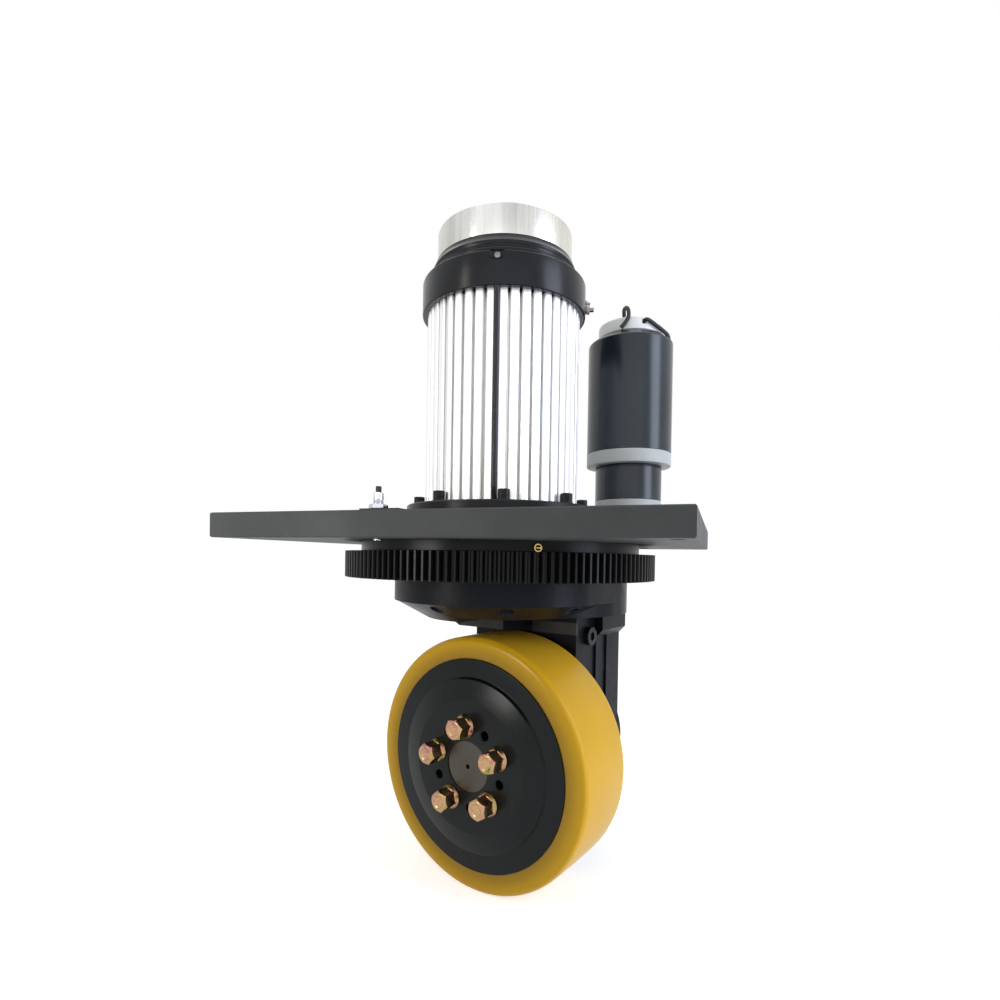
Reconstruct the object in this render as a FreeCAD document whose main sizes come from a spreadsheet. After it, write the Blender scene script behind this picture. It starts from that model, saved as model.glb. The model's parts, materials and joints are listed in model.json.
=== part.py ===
import FreeCAD, Part

# Steerable drive wheel unit for a vehicle: a thick mounting plate carries a traction motor,
# a steering motor and a slewing ring, and a gearbox leg with the wheel turns below it.
# Millimetres. The origin is on the steering axis at the top face of the plate, +Z is up,
# +X runs along the long side of the plate to the steering motor, +Y to the back.

import math
import os
import re

import Sketcher
from FreeCAD import Placement, Rotation, Vector

SIZES = {
    # mounting plate
    "plate_long": 372,
    "plate_deep": 326,
    "plate_across": -4,
    "plate_set_back": 3,
    "plate_thick": 20,
    "plate_chamfer": 1,
    "mount_hole_radius": 5.5,
    "mount_hole_across": 340,
    "mount_hole_deep": 280,
    # clearances
    "fit_gap": 0.03,
    "running_fit": 0.05,
    "hole_gap": 0.3,
    "running_gap": 0.5,
    "head_gap": 0.3,
    "thread_room": 1,
    "small_edge": 1,
    # screws: the stout size holds rings and flanges, the fine one the reducer and the cover
    "screw_radius": 3,
    "screw_head_radius": 5,
    "screw_head_high": 6,
    "screw_sink": 6.5,
    "fine_screw_radius": 2.5,
    "fine_head_radius": 4.25,
    "fine_head_high": 5,
    "fine_sink": 5.5,
    "washer_stack": 3.2,
    "washer_radius": 5.5,
    "lock_washer_radius": 4.8,
    # traction motor shaft and the bores it passes through
    "shaft_radius": 12,
    "shaft_bore_radius": 28,
    "shaft_top": 255,
    "shaft_gap": 2,
    # slewing ring
    "ring_flange_radius": 128,
    "ring_flange_thick": 8,
    "ring_boss_deep": 15.5,
    "race_radius": 104,
    "race_drop": 8,
    "race_gap": 2,
    "ball_radius": 5,
    "ball_count": 60,
    "ring_screw_circle": 112,
    "ring_screw_count": 12,
    "ring_screw_angle": 15,
    "ring_thread_deep": 7,
    "nipple_radius": 3,
    "nipple_reach": 5,
    "nipple_angle": -57,
    "nipple_drop": 5.3,
    # steering gear pair
    "steer_module": 2,
    "ring_teeth": 140,
    "steer_pinion_teeth": 20,
    "steer_face": 22.5,
    "steer_backlash": 0.2,
    "gear_web_thick": 6,
    "gear_thread_deep": 5,
    "seal_radius": 111.5,
    "seal_width": 4,
    "seal_deep": 2,
    "seal_lip": 0.6,
    "wheel_heading": 15.2,
    # traction motor
    "motor_flange_radius": 88,
    "motor_flange_thick": 14,
    "flange_screw_circle": 77,
    "flange_screw_count": 8,
    "flange_screw_angle": -67.6,
    "flange_thread_deep": 14,
    "flange_bore": 20,
    "frame_bore": 55,
    "fin_root": 63,
    "fin_tip": 71,
    "fin_count": 44,
    "fin_share": 0.78,
    "fin_edge": 2.2,
    "fin_top": 189.5,
    "tie_rod_radius": 2.65,
    "tie_rod_circle": 73.2,
    "tie_rod_count": 2,
    "tie_rod_angle": -74,
    "stator_inner": 33,
    "core_low": 40,
    "core_high": 150,
    "winding_reach": 18,
    "winding_margin": 3,
    "band_radius": 76,
    "band_high": 28.5,
    "band_web": 15,
    "band_wall": 6,
    "band_notch_width": 11.8,
    "band_notch_high": 7.7,
    "band_notch_deep": 4,
    "notch_plug": 2.6,
    "bell_seat_half": 7,
    "bell_seat_wall": 5,
    "upper_stud_angle": 20.8,
    "upper_stud_lift": 18.5,
    "upper_stud_radius": 3,
    "upper_stud_reach": 5,
    "lower_stud_angle": 17.5,
    "lower_stud_lift": 11,
    "lower_stud_radius": 4.2,
    "lower_stud_reach": 8,
    "brake_radius": 65.8,
    "brake_top_radius": 64.7,
    "brake_high": 19.6,
    "brake_wall": 5,
    "bead_proud": 1.1,
    "bead_half": 1.8,
    "lower_bead": 6,
    "upper_bead": 12.5,
    "cap_radius": 62.6,
    "cap_high": 27.4,
    "cap_chamfer": 1.5,
    "cap_wall": 3,
    "brake_disc_radius": 48,
    "brake_disc_thick": 6,
    "brake_magnet_high": 14,
    "brake_magnet_margin": 2,
    # bearings, bore and outer radius and width
    "large_bearing_bore": 15,
    "large_bearing_outer": 27.5,
    "large_bearing_width": 13,
    "small_bearing_bore": 10,
    "small_bearing_outer": 23.5,
    "small_bearing_width": 14,
    "leg_bearing_bore": 17.5,
    "leg_bearing_outer": 36,
    "leg_bearing_width": 17,
    "end_bearing_bore": 15,
    "end_bearing_outer": 31,
    "end_bearing_width": 16,
    "output_bearing_bore": 8.5,
    "output_bearing_outer": 20,
    "output_bearing_width": 12,
    "armature_bearing_bore": 6,
    "armature_bearing_outer": 14,
    "armature_bearing_width": 8,
    # steering motor and reducer
    "steer_drive_angle": 51.4,
    "reducer_radius": 35,
    "reducer_base_high": 30.5,
    "reducer_high": 36.8,
    "reducer_bore": 30,
    "steer_pinion_bore": 24,
    "output_bore": 10,
    "seat_floor": 4,
    "adapter_high": 13.6,
    "adapter_bore": 8,
    "steer_motor_radius": 44.6,
    "steer_motor_wall": 4,
    "steer_motor_high": 116.4,
    "shoulder_high": 8,
    "shoulder_web": 5,
    "end_shield_bore": 7,
    "end_seat_wall": 4,
    "brush_cap_radius": 34,
    "brush_cap_high": 13.5,
    "brush_cap_wall": 2.5,
    "brush_cap_edge": 2,
    "lead_radius": 2.1,
    "lead_inset": 13.5,
    "lead_crest": 9,
    "planet_module": 1,
    "sun_teeth": 15,
    "planet_teeth": 15,
    "planet_ring_teeth": 45,
    "planet_count": 3,
    "planet_face": 12,
    "planet_low": 36,
    "planet_backlash": 0.16,
    "planet_pin_radius": 3,
    "carrier_margin": 6,
    "armature_radius": 35.5,
    "magnet_inner": 36.5,
    "magnet_lift": 17,
    "magnet_long": 83,
    "magnet_span": 78,
    "armature_neck": 5,
    "armature_end_gap": 3,
    "reducer_screw_circle": 29.5,
    "reducer_thread_deep": 10,
    # homing sensor
    "sensor_radius": 4,
    "sensor_across": -53.2,
    "sensor_forward": -127.2,
    "sensor_high": 21,
    "sensor_collar": 6,
    "sensor_tail": 5,
    "sensor_nut_flats": 13,
    "sensor_nut_high": 4,
    "bracket_thick": 3,
    "bracket_long": 34,
    "bracket_deep": 22,
    "bracket_end": 10,
    # gearbox leg
    "housing_radius": 98,
    "housing_back_radius": 98,
    "housing_back_centre": 50,
    "housing_flange_thick": 21,
    "sump_low": -84,
    "neck_bottom": -100,
    "neck_front": 36,
    "taper_foot": 46,
    "bowl_front": -4,
    "bowl_facet_high": -88,
    "leg_facet_across": 8,
    "shoulder_half_width": 69,
    "shoulder_low": -103,
    "leg_half_width": 60,
    "leg_rim_width": 62,
    "leg_rim_thick": 8,
    "leg_rib_back": 24,
    "leg_front": 42,
    "leg_back": 112,
    "leg_end_radius": 66,
    "cover_back": 134,
    "boss_radius": 48,
    "boss_front": 24,
    "bevel_cavity_radius": 54,
    "spur_cavity_deep": 29,
    "spur_tip_gap": 2.5,
    "bore_step": 5,
    "bevel_wall": 12,
    "counter_span": 66,
    "axle_seal_thick": 6,
    "plug_back": 66,
    "plug_level": -108,
    "plug_radius": 6,
    "plug_head_radius": 9,
    "plug_head_high": 5,
    "plug_hole_deep": 14,
    "plug_seat": 9,
    "plug_key": 8,
    "cover_wall": 12,
    "cover_floor": 5,
    "cover_room_low": 62,
    "cover_screw_inset": 6,
    "cover_screw_low": 56,
    "cover_screw_high": 106,
    "cover_thread_deep": 12,
    "housing_screw_circle": 88,
    # gear train from the motor to the wheel
    "spur_module": 1.5,
    "motor_pinion_teeth": 17,
    "spur_teeth": 76,
    "spur_face": 16,
    "spur_drop": 6,
    "pinion_overhang": 3,
    "pinion_neck": 10,
    "spur_hub_radius": 13.5,
    "spur_backlash": 0.16,
    "bevel_module": 2.5,
    "bevel_pinion_teeth": 11,
    "crown_teeth": 41,
    "bevel_face": 14,
    "bevel_shift": 0.35,
    "bevel_backlash": 0.3,
    # wheel
    "wheel_centre": -219.2,
    "wheel_radius": 115,
    "wheel_width": 75,
    "tyre_shoulder": 7,
    "hub_radius": 95,
    "hub_rim_wall": 11,
    "hub_front": 38,
    "hub_slope_radius": 77,
    "hub_slope_front": 41,
    "hub_step": 1.5,
    "hub_rim_edge": 3,
    "hub_web_slope": 6,
    "hub_face_radius": 59,
    "hub_face_front": 45,
    "hub_web_back": 20,
    "pilot_radius": 22.5,
    "pilot_front": 44,
    "wheel_bolt_circle": 36,
    "wheel_bolt_count": 5,
    "wheel_bolt_angle": 95,
    "wheel_bolt_radius": 5,
    "wheel_bolt_flats": 17,
    "wheel_bolt_flange": 10.9,
    "wheel_bolt_seat": 4.5,
    "wheel_bolt_high": 17,
    "wheel_bolt_dish": 0.8,
    "jack_radius": 4,
    "jack_deep": 12,
    "axle_flange_radius": 52,
    "axle_flange_back": 6,
    "axle_seal_radius": 24,
    "crown_bore": 16,
    "crown_seat": 17,
    "crown_edge": 23,
    "crown_hub_radius": 26,
    "crown_hub_back": 30,
    "nut_flats": 46,
    "nut_high": 9.5,
    "nut_thread": 10,
    "centre_mark_radius": 2.2,
    "centre_mark_deep": 5,
}

doc = FreeCAD.newDocument("drive_wheel_unit")
sheet = doc.addObject("Spreadsheet::Sheet", "sizes")
for row, (alias, number) in enumerate(SIZES.items(), 1):
    sheet.set(f"A{row}", alias)
    sheet.set(f"B{row}", str(number))
    sheet.setAlias(f"B{row}", alias)
doc.recompute()

PARTS = []

# Longer than any hole or bore that a tool of this length cuts.
THROUGH = 60

# Heights that several pieces share, as expressions on the sheet.
RING_TOP = "-plate_thick"
RING_LOW = "(-plate_thick - ring_flange_thick)"
GEAR_TOP = "(-plate_thick - ring_flange_thick - running_gap)"
GEAR_LOW = f"({GEAR_TOP} - steer_face)"
WEB_TOP = f"({GEAR_LOW} + gear_web_thick)"
BALL_LEVEL = f"({RING_LOW} - race_drop)"
HOUSING_LOW = f"({GEAR_LOW} - housing_flange_thick)"
CAVITY_LOW = f"({GEAR_LOW} - spur_cavity_deep)"
SPUR_TOP = f"({GEAR_LOW} - spur_drop)"
BAND_TOP = "(fin_top + band_high)"
BRAKE_TOP = f"({BAND_TOP} + brake_high)"
REDUCER_TOP = "(reducer_base_high + reducer_high)"
ADAPTER_TOP = f"({REDUCER_TOP} + adapter_high)"
SHELL_TOP = f"({ADAPTER_TOP} + steer_motor_high)"
SHOULDER_TOP = f"({SHELL_TOP} + shoulder_high)"
COUNTER_BACK = "(spur_module * (spur_teeth + motor_pinion_teeth) / 2)"
LOWER_BEARING_TOP = f"({CAVITY_LOW} - counter_span)"
CROWN_PITCH = "(bevel_module * crown_teeth / 2)"
PINION_PITCH = "(bevel_module * bevel_pinion_teeth / 2)"


def bound(text):
    """An expression with the sheet named before each of its cells."""
    return re.sub(r"[a-z][a-z_]+", lambda m: "sizes." + m.group() if m.group() in SIZES else m.group(), text)


def size(text):
    """The value of an expression on the sheet's cells."""
    return float(sheet.evalExpression(bound(str(text))))


def tie(item, name, text):
    """Bind one property of an object to an expression on the sheet."""
    item.setExpression(name, bound(text))


# Frames of the shafts: the steering axis, the steered leg, its countershaft, the wheel axle and
# the steering drive. The axle's frame has its z outwards through the wheel and its y up.
HEADING = Rotation(Vector(0, 0, 1), -size("wheel_heading"))
STEERED = Placement(Vector(), HEADING)
COUNTER = STEERED.multiply(Placement(Vector(0, size(COUNTER_BACK), 0), Rotation()))
AXLE_TURN = Rotation(Vector(1, 0, 0), Vector(0, 0, 1), Vector(0, -1, 0), "ZXY")
AXLE = STEERED.multiply(Placement(Vector(0, 0, size("wheel_centre")), AXLE_TURN))
STEER_CENTRE = size("steer_module * (ring_teeth + steer_pinion_teeth) / 2")
DRIVE_ANGLE = math.radians(size("steer_drive_angle"))
DRIVE = Placement(
    Vector(STEER_CENTRE * math.cos(DRIVE_ANGLE), STEER_CENTRE * math.sin(DRIVE_ANGLE), 0), Rotation()
)
FIXED = Placement()


def keep(item, label, frame=FIXED):
    """Name a finished piece and put it in its frame."""
    item.Label = label
    item.Placement = frame
    PARTS.append(item)
    return item


def solid(label, shape, frame=FIXED):
    """A piece whose shape is worked out in code."""
    item = doc.addObject("Part::Feature", label)
    item.Shape = shape
    return keep(item, label, frame.multiply(shape.Placement))


def outline_sketch(body, name, outline, role="XZ_Plane"):
    """A closed outline of straight lines whose corners are bound to the sheet."""
    sketch = body.newObject("Sketcher::SketchObject", name)
    plane = [item for item in body.Origin.OriginFeatures if item.Role == role][0]
    sketch.AttachmentSupport = (plane, [""])
    sketch.MapMode = "FlatFace"
    points = [Vector(size(across), size(along), 0) for across, along in outline]
    count = len(points)
    lines = [Part.LineSegment(points[i], points[(i + 1) % count]) for i in range(count)]
    sketch.addGeometry(lines, False)
    joins = [Sketcher.Constraint("Coincident", i, 2, (i + 1) % count, 1) for i in range(count)]
    sketch.addConstraint(joins)
    for i, (across, along) in enumerate(outline):
        for kind, axis, text, number in (
            ("DistanceX", -2, across, points[i].x),
            ("DistanceY", -1, along, points[i].y),
        ):
            if abs(number) < 1e-9:
                sketch.addConstraint(Sketcher.Constraint("PointOnObject", i, 1, axis))
            else:
                k = sketch.addConstraint(Sketcher.Constraint(kind, -1, 1, i, 1, number))
                tie(sketch, f"Constraints[{k}]", str(text))
    return sketch


def turned_body(name, outline):
    """A body of revolution about its own z axis, from (radius, height) corners."""
    body = doc.addObject("PartDesign::Body", name)
    sketch = outline_sketch(body, name + "_outline", outline)
    turn = body.newObject("PartDesign::Revolution", name + "_turn")
    turn.Profile = (sketch, [""])
    turn.ReferenceAxis = (sketch, ["V_Axis"])
    turn.Angle = 360
    sketch.Visibility = False
    return body


def turned(label, outline, frame=FIXED):
    """A turned piece."""
    return keep(turned_body(label, outline), label, frame)


def race_groove(body, radius, level, ball):
    """A round groove for balls, turned into a body."""
    sketch = body.newObject("Sketcher::SketchObject", body.Name + "_race")
    plane = [item for item in body.Origin.OriginFeatures if item.Role == "XZ_Plane"][0]
    sketch.AttachmentSupport = (plane, [""])
    sketch.MapMode = "FlatFace"
    centre = Vector(size(radius), size(level), 0)
    sketch.addGeometry(Part.Circle(centre, Vector(0, 0, 1), size(ball)), False)
    for kind, text, number in (("DistanceX", radius, centre.x), ("DistanceY", level, centre.y)):
        k = sketch.addConstraint(Sketcher.Constraint(kind, -1, 1, 0, 3, number))
        tie(sketch, f"Constraints[{k}]", text)
    k = sketch.addConstraint(Sketcher.Constraint("Radius", 0, size(ball)))
    tie(sketch, f"Constraints[{k}]", ball)
    groove = body.newObject("PartDesign::Groove", body.Name + "_groove")
    groove.Profile = (sketch, [""])
    groove.ReferenceAxis = (sketch, ["V_Axis"])
    groove.Angle = 360
    return body


def round_holes(body, name, centres, radius, top, deep):
    """Round pockets cut downwards from a level, at centres given as pairs of expressions."""
    sketch = body.newObject("Sketcher::SketchObject", body.Name + "_" + name)
    plane = [item for item in body.Origin.OriginFeatures if item.Role == "XY_Plane"][0]
    sketch.AttachmentSupport = (plane, [""])
    sketch.MapMode = "FlatFace"
    tie(sketch, "AttachmentOffset.Base.z", top)
    for i, pair in enumerate(centres):
        centre = Vector(size(pair[0]), size(pair[1]), 0)
        sketch.addGeometry(Part.Circle(centre, Vector(0, 0, 1), size(radius)), False)
        for kind, text, number in (("DistanceX", pair[0], centre.x), ("DistanceY", pair[1], centre.y)):
            k = sketch.addConstraint(Sketcher.Constraint(kind, -1, 1, i, 3, number))
            tie(sketch, f"Constraints[{k}]", text)
        k = sketch.addConstraint(Sketcher.Constraint("Radius", i, size(radius)))
        tie(sketch, f"Constraints[{k}]", radius)
    pocket = body.newObject("PartDesign::Pocket", body.Name + "_" + name + "_cut")
    pocket.Profile = (sketch, [""])
    tie(pocket, "Length", deep)
    return body


def circle_of(radius, count, angle):
    """Centres on a pitch circle, as pairs of expressions."""
    step = 360 / count
    return [
        (f"{radius} * cos({angle} + {k * step})", f"{radius} * sin({angle} + {k * step})")
        for k in range(count)
    ]


def cylinder(name, radius, start, end, centre=("0", "0"), along="z"):
    """A cylinder between two levels along z, or along y of the steered leg."""
    item = doc.addObject("Part::Cylinder", name)
    tie(item, "Radius", str(radius))
    tie(item, "Height", f"({end}) - ({start})")
    if along == "y":
        item.Placement = Placement(Vector(), Rotation(Vector(1, 0, 0), -90))
        base = (centre[0], start, centre[1])
    else:
        base = (centre[0], centre[1], start)
    for axis, text in zip("xyz", base):
        tie(item, f"Placement.Base.{axis}", str(text))
    return item


def box(name, low, high):
    """A box between two corners given as expressions."""
    item = doc.addObject("Part::Box", name)
    for side, axis, a, b in zip(("Length", "Width", "Height"), "xyz", low, high):
        tie(item, side, f"({b}) - ({a})")
        tie(item, f"Placement.Base.{axis}", str(a))
    return item


def fused(name, items):
    """Several solids joined to one."""
    item = doc.addObject("Part::MultiFuse", name)
    item.Shapes = items
    item.Refine = True
    return item


def cut(name, base, tools):
    """A solid less several others."""
    item = doc.addObject("Part::Cut", name)
    item.Base = base
    item.Tool = tools[0] if len(tools) == 1 else fused(name + "_tools", tools)
    return item


def involute(angle):
    """The involute function."""
    return math.tan(angle) - angle


def tooth_corners(teeth, module, backlash=0.0, shift=0.0, addendum=1.0, dedendum=1.25):
    """One tooth's half outline as (radius, half angle) from root to tip, for a 20 degree rack."""
    pressure = math.radians(20)
    pitch = teeth * module / 2
    base = pitch * math.cos(pressure)
    root = pitch + (shift - dedendum) * module
    tip = pitch + (shift + addendum) * module
    half = (math.pi / 2 + 2 * shift * math.tan(pressure)) / teeth - backlash / (4 * pitch)
    start = max(root, base + 0.001)
    corners = []
    for share in (0.0, 0.5, 1.0):
        radius = start + (tip - start) * share
        flank = half + involute(pressure) - involute(math.acos(base / radius))
        corners.append((radius, flank))
    if root < start:
        corners.insert(0, (root, corners[0][1]))
    return corners


def polar(radius, angle, level=0.0):
    """A point at a radius and an angle."""
    return Vector(radius * math.cos(angle), radius * math.sin(angle), level)


def gear_face(teeth, module, phase, **tooth):
    """A spur gear's outline as a face, with the centre of one tooth at the phase."""
    corners = tooth_corners(teeth, module, **tooth)
    edges = []
    first = None
    last = None
    for k in range(teeth):
        centre = phase + 2 * math.pi * k / teeth
        rising = [polar(r, centre - a) for r, a in corners]
        falling = [polar(r, centre + a) for r, a in reversed(corners)]
        if last is not None:
            edges.append(Part.makeLine(last, rising[0]))
        else:
            first = rising[0]
        if len(corners) == 4:
            edges.append(Part.makeLine(rising[0], rising[1]))
        edges.append(Part.Arc(*rising[-3:]).toShape())
        edges.append(Part.makeLine(rising[-1], falling[0]))
        edges.append(Part.Arc(*falling[:3]).toShape())
        if len(corners) == 4:
            edges.append(Part.makeLine(falling[2], falling[3]))
        last = falling[-1]
    edges.append(Part.makeLine(last, first))
    return Part.Face(Part.Wire(edges))


def gear_blank(face, low, high):
    """A toothed face drawn up between two levels."""
    drawn = face.extrude(Vector(0, 0, high - low))
    drawn.translate(Vector(0, 0, low))
    return drawn


def tube(outer, inner, low, high, centre=Vector()):
    """A plain ring."""
    at = centre + Vector(0, 0, low)
    ring = Part.makeCylinder(outer, high - low, at)
    if inner > 0:
        ring = ring.cut(Part.makeCylinder(inner, high - low, at))
    return ring


def disc_stack(levels):
    """A turned solid from (radius, height) corners, in code."""
    points = [Vector(radius, 0, height) for radius, height in levels]
    wire = Part.makePolygon(points + points[:1])
    return Part.Face(wire).revolve(Vector(), Vector(0, 0, 1), 360)


def bevel_teeth(teeth, mate, module, phase, **tooth):
    """A cone of bevel teeth with its apex at the origin, opening along +z."""
    cone = math.atan2(teeth, mate)
    pitch = teeth * module / 2
    length = pitch / math.sin(cone)
    virtual = pitch / math.cos(cone)
    back_apex = length / math.cos(cone)
    spread = virtual / pitch
    pressure = math.radians(20)
    base = virtual * math.cos(pressure)
    shift = tooth["shift"]
    root = virtual + (shift - tooth["dedendum"]) * module
    tip = virtual + (shift + tooth["addendum"]) * module
    half = (math.pi / 2 + 2 * shift * math.tan(pressure)) * module / (2 * virtual)
    half -= tooth["backlash"] / (4 * virtual)
    start = max(root, base + 0.001)
    profile = []
    for share in (0.0, 0.5, 1.0):
        slant = start + (tip - start) * share
        angle = half + involute(pressure) - involute(math.acos(base / slant))
        profile.append((slant, angle * spread))
    if root < start:
        profile.insert(0, (root, profile[0][1]))
    plane = length * math.cos(cone)
    corners = []
    for slant, angle in profile:
        radius = slant * math.cos(cone)
        level = back_apex - slant * math.sin(cone)
        corners.append((radius * plane / level, angle))
    wires = []
    for scale in (0.45, 2.4):
        points = []
        for k in range(teeth):
            centre = phase + 2 * math.pi * k / teeth
            points += [polar(r * scale, centre - a, plane * scale) for r, a in corners]
            points += [polar(r * scale, centre + a, plane * scale) for r, a in reversed(corners)]
        wires.append(Part.makePolygon(points + points[:1]))
    return Part.makeLoft(wires, True, True)


def ball_bearing(bore, outer, low, width, frame=FIXED):
    """A deep groove ball bearing: inner ring, outer ring and balls, as separate solids."""
    inner_edge = bore + (outer - bore) * 0.3
    outer_edge = bore + (outer - bore) * 0.7
    middle = (bore + outer) / 2
    ball = (outer - bore) * 0.27
    level = low + width / 2
    groove = Part.makeTorus(middle, ball + size("running_fit"), Vector(0, 0, level))
    rings = [
        tube(inner_edge, bore, low, low + width).cut(groove),
        tube(outer, outer_edge, low, low + width).cut(groove),
    ]
    count = int(math.pi * middle / ball * 0.8)
    balls = [
        Part.makeSphere(ball, polar(middle, 2 * math.pi * k / count, level)) for k in range(count)
    ]
    bearing = Part.makeCompound(rings + balls)
    bearing.Placement = frame
    return bearing


def hex_prism(across_flats, low, high):
    """A hexagon drawn up between two levels."""
    corner = across_flats / math.sqrt(3)
    points = [polar(corner, math.radians(60 * k), low) for k in range(7)]
    return Part.Face(Part.makePolygon(points)).extrude(Vector(0, 0, high - low))


def socket_screw(radius, head_radius, head_high, reach):
    """A socket head screw with its seat at z 0 and its head up."""
    head = Part.makeCylinder(head_radius, head_high)
    head = head.makeChamfer(head_high * 0.08, [head.Edges[0]])
    key = hex_prism(radius * 1.7, head_high * 0.45, head_high)
    shank = Part.makeCylinder(radius, reach, Vector(0, 0, -reach))
    return head.fuse(shank).cut(key)


def stout_screw(reach):
    """A socket screw of the stout size."""
    return socket_screw(size("screw_radius"), size("screw_head_radius"), size("screw_head_high"), reach)


def fine_screw(reach):
    """A socket screw of the fine size."""
    return socket_screw(size("fine_screw_radius"), size("fine_head_radius"), size("fine_head_high"), reach)


def placed(shape, places):
    """Copies of one shape, as separate solids."""
    copies = []
    for place in places:
        copy = shape.copy()
        copy.Placement = place
        copies.append(copy)
    return Part.makeCompound(copies)


def around(radius, count, angle, level, flip=False):
    """Places on a pitch circle at a level, upright or upside down."""
    turn = Rotation(Vector(1, 0, 0), 180) if flip else Rotation()
    return [
        Placement(polar(radius, math.radians(angle + 360 * k / count), level), turn)
        for k in range(count)
    ]


# Mounting plate


def mounting_plate():
    """The thick plate that bolts to the vehicle, with every hole that passes through it."""
    body = doc.addObject("PartDesign::Body", "mounting_plate")
    left = "plate_across - plate_long / 2"
    right = "plate_across + plate_long / 2"
    front = "plate_set_back - plate_deep / 2"
    back = "plate_set_back + plate_deep / 2"
    corners = [(left, front), (right, front), (right, back), (left, back)]
    sketch = outline_sketch(body, "plate_outline", corners, "XY_Plane")
    tie(sketch, "AttachmentOffset.Base.z", "-plate_thick")
    pad = body.newObject("PartDesign::Pad", "plate_pad")
    pad.Profile = (sketch, [""])
    tie(pad, "Length", "plate_thick")
    doc.recompute()
    rims = [
        f"Edge{k}"
        for k, edge in enumerate(pad.Shape.Edges, 1)
        if abs(edge.BoundBox.ZLength) < 1e-6
    ]
    chamfer = body.newObject("PartDesign::Chamfer", "plate_chamfer_edges")
    chamfer.Base = (pad, rims)
    tie(chamfer, "Size", "plate_chamfer")
    doc.recompute()
    through = "plate_thick"
    across = "mount_hole_across / 2"
    deep = "mount_hole_deep / 2"
    mounts = [(a + across, b + deep) for a in ("-", "") for b in ("-", "")]
    reach = "steer_module * (ring_teeth + steer_pinion_teeth) / 2"
    drive = [(f"{reach} * cos(steer_drive_angle)", f"{reach} * sin(steer_drive_angle)")]
    round_holes(body, "mounts", mounts, "mount_hole_radius", "0", through)
    round_holes(body, "shaft", [("0", "0")], "shaft_bore_radius", "0", through)
    round_holes(body, "pinion", drive, "steer_pinion_bore", "0", through)
    sensor = [("sensor_across", "sensor_forward")]
    round_holes(body, "sensor", sensor, "sensor_radius + hole_gap", "0", through)
    ring_circle = circle_of("ring_screw_circle", int(size("ring_screw_count")), "ring_screw_angle")
    round_holes(body, "ring_heads", ring_circle, "screw_head_radius + head_gap", "0", "screw_sink")
    round_holes(body, "ring_shanks", ring_circle, "screw_radius + fit_gap", "0", through)
    flange_circle = circle_of("flange_screw_circle", int(size("flange_screw_count")), "flange_screw_angle")
    round_holes(body, "flange_threads", flange_circle, "screw_radius + fit_gap", "0", "flange_thread_deep")
    screws = circle_of("reducer_screw_circle", 4, "45")
    reducer = [(f"{drive[0][0]} + {a}", f"{drive[0][1]} + {b}") for a, b in screws]
    round_holes(body, "reducer_shanks", reducer, "fine_screw_radius + fit_gap", "0", through)
    heads = "fine_head_radius + head_gap"
    round_holes(body, "reducer_heads", reducer, heads, "fine_sink - plate_thick", "fine_sink")
    return keep(body, "mounting_plate")


# Slewing ring


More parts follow.
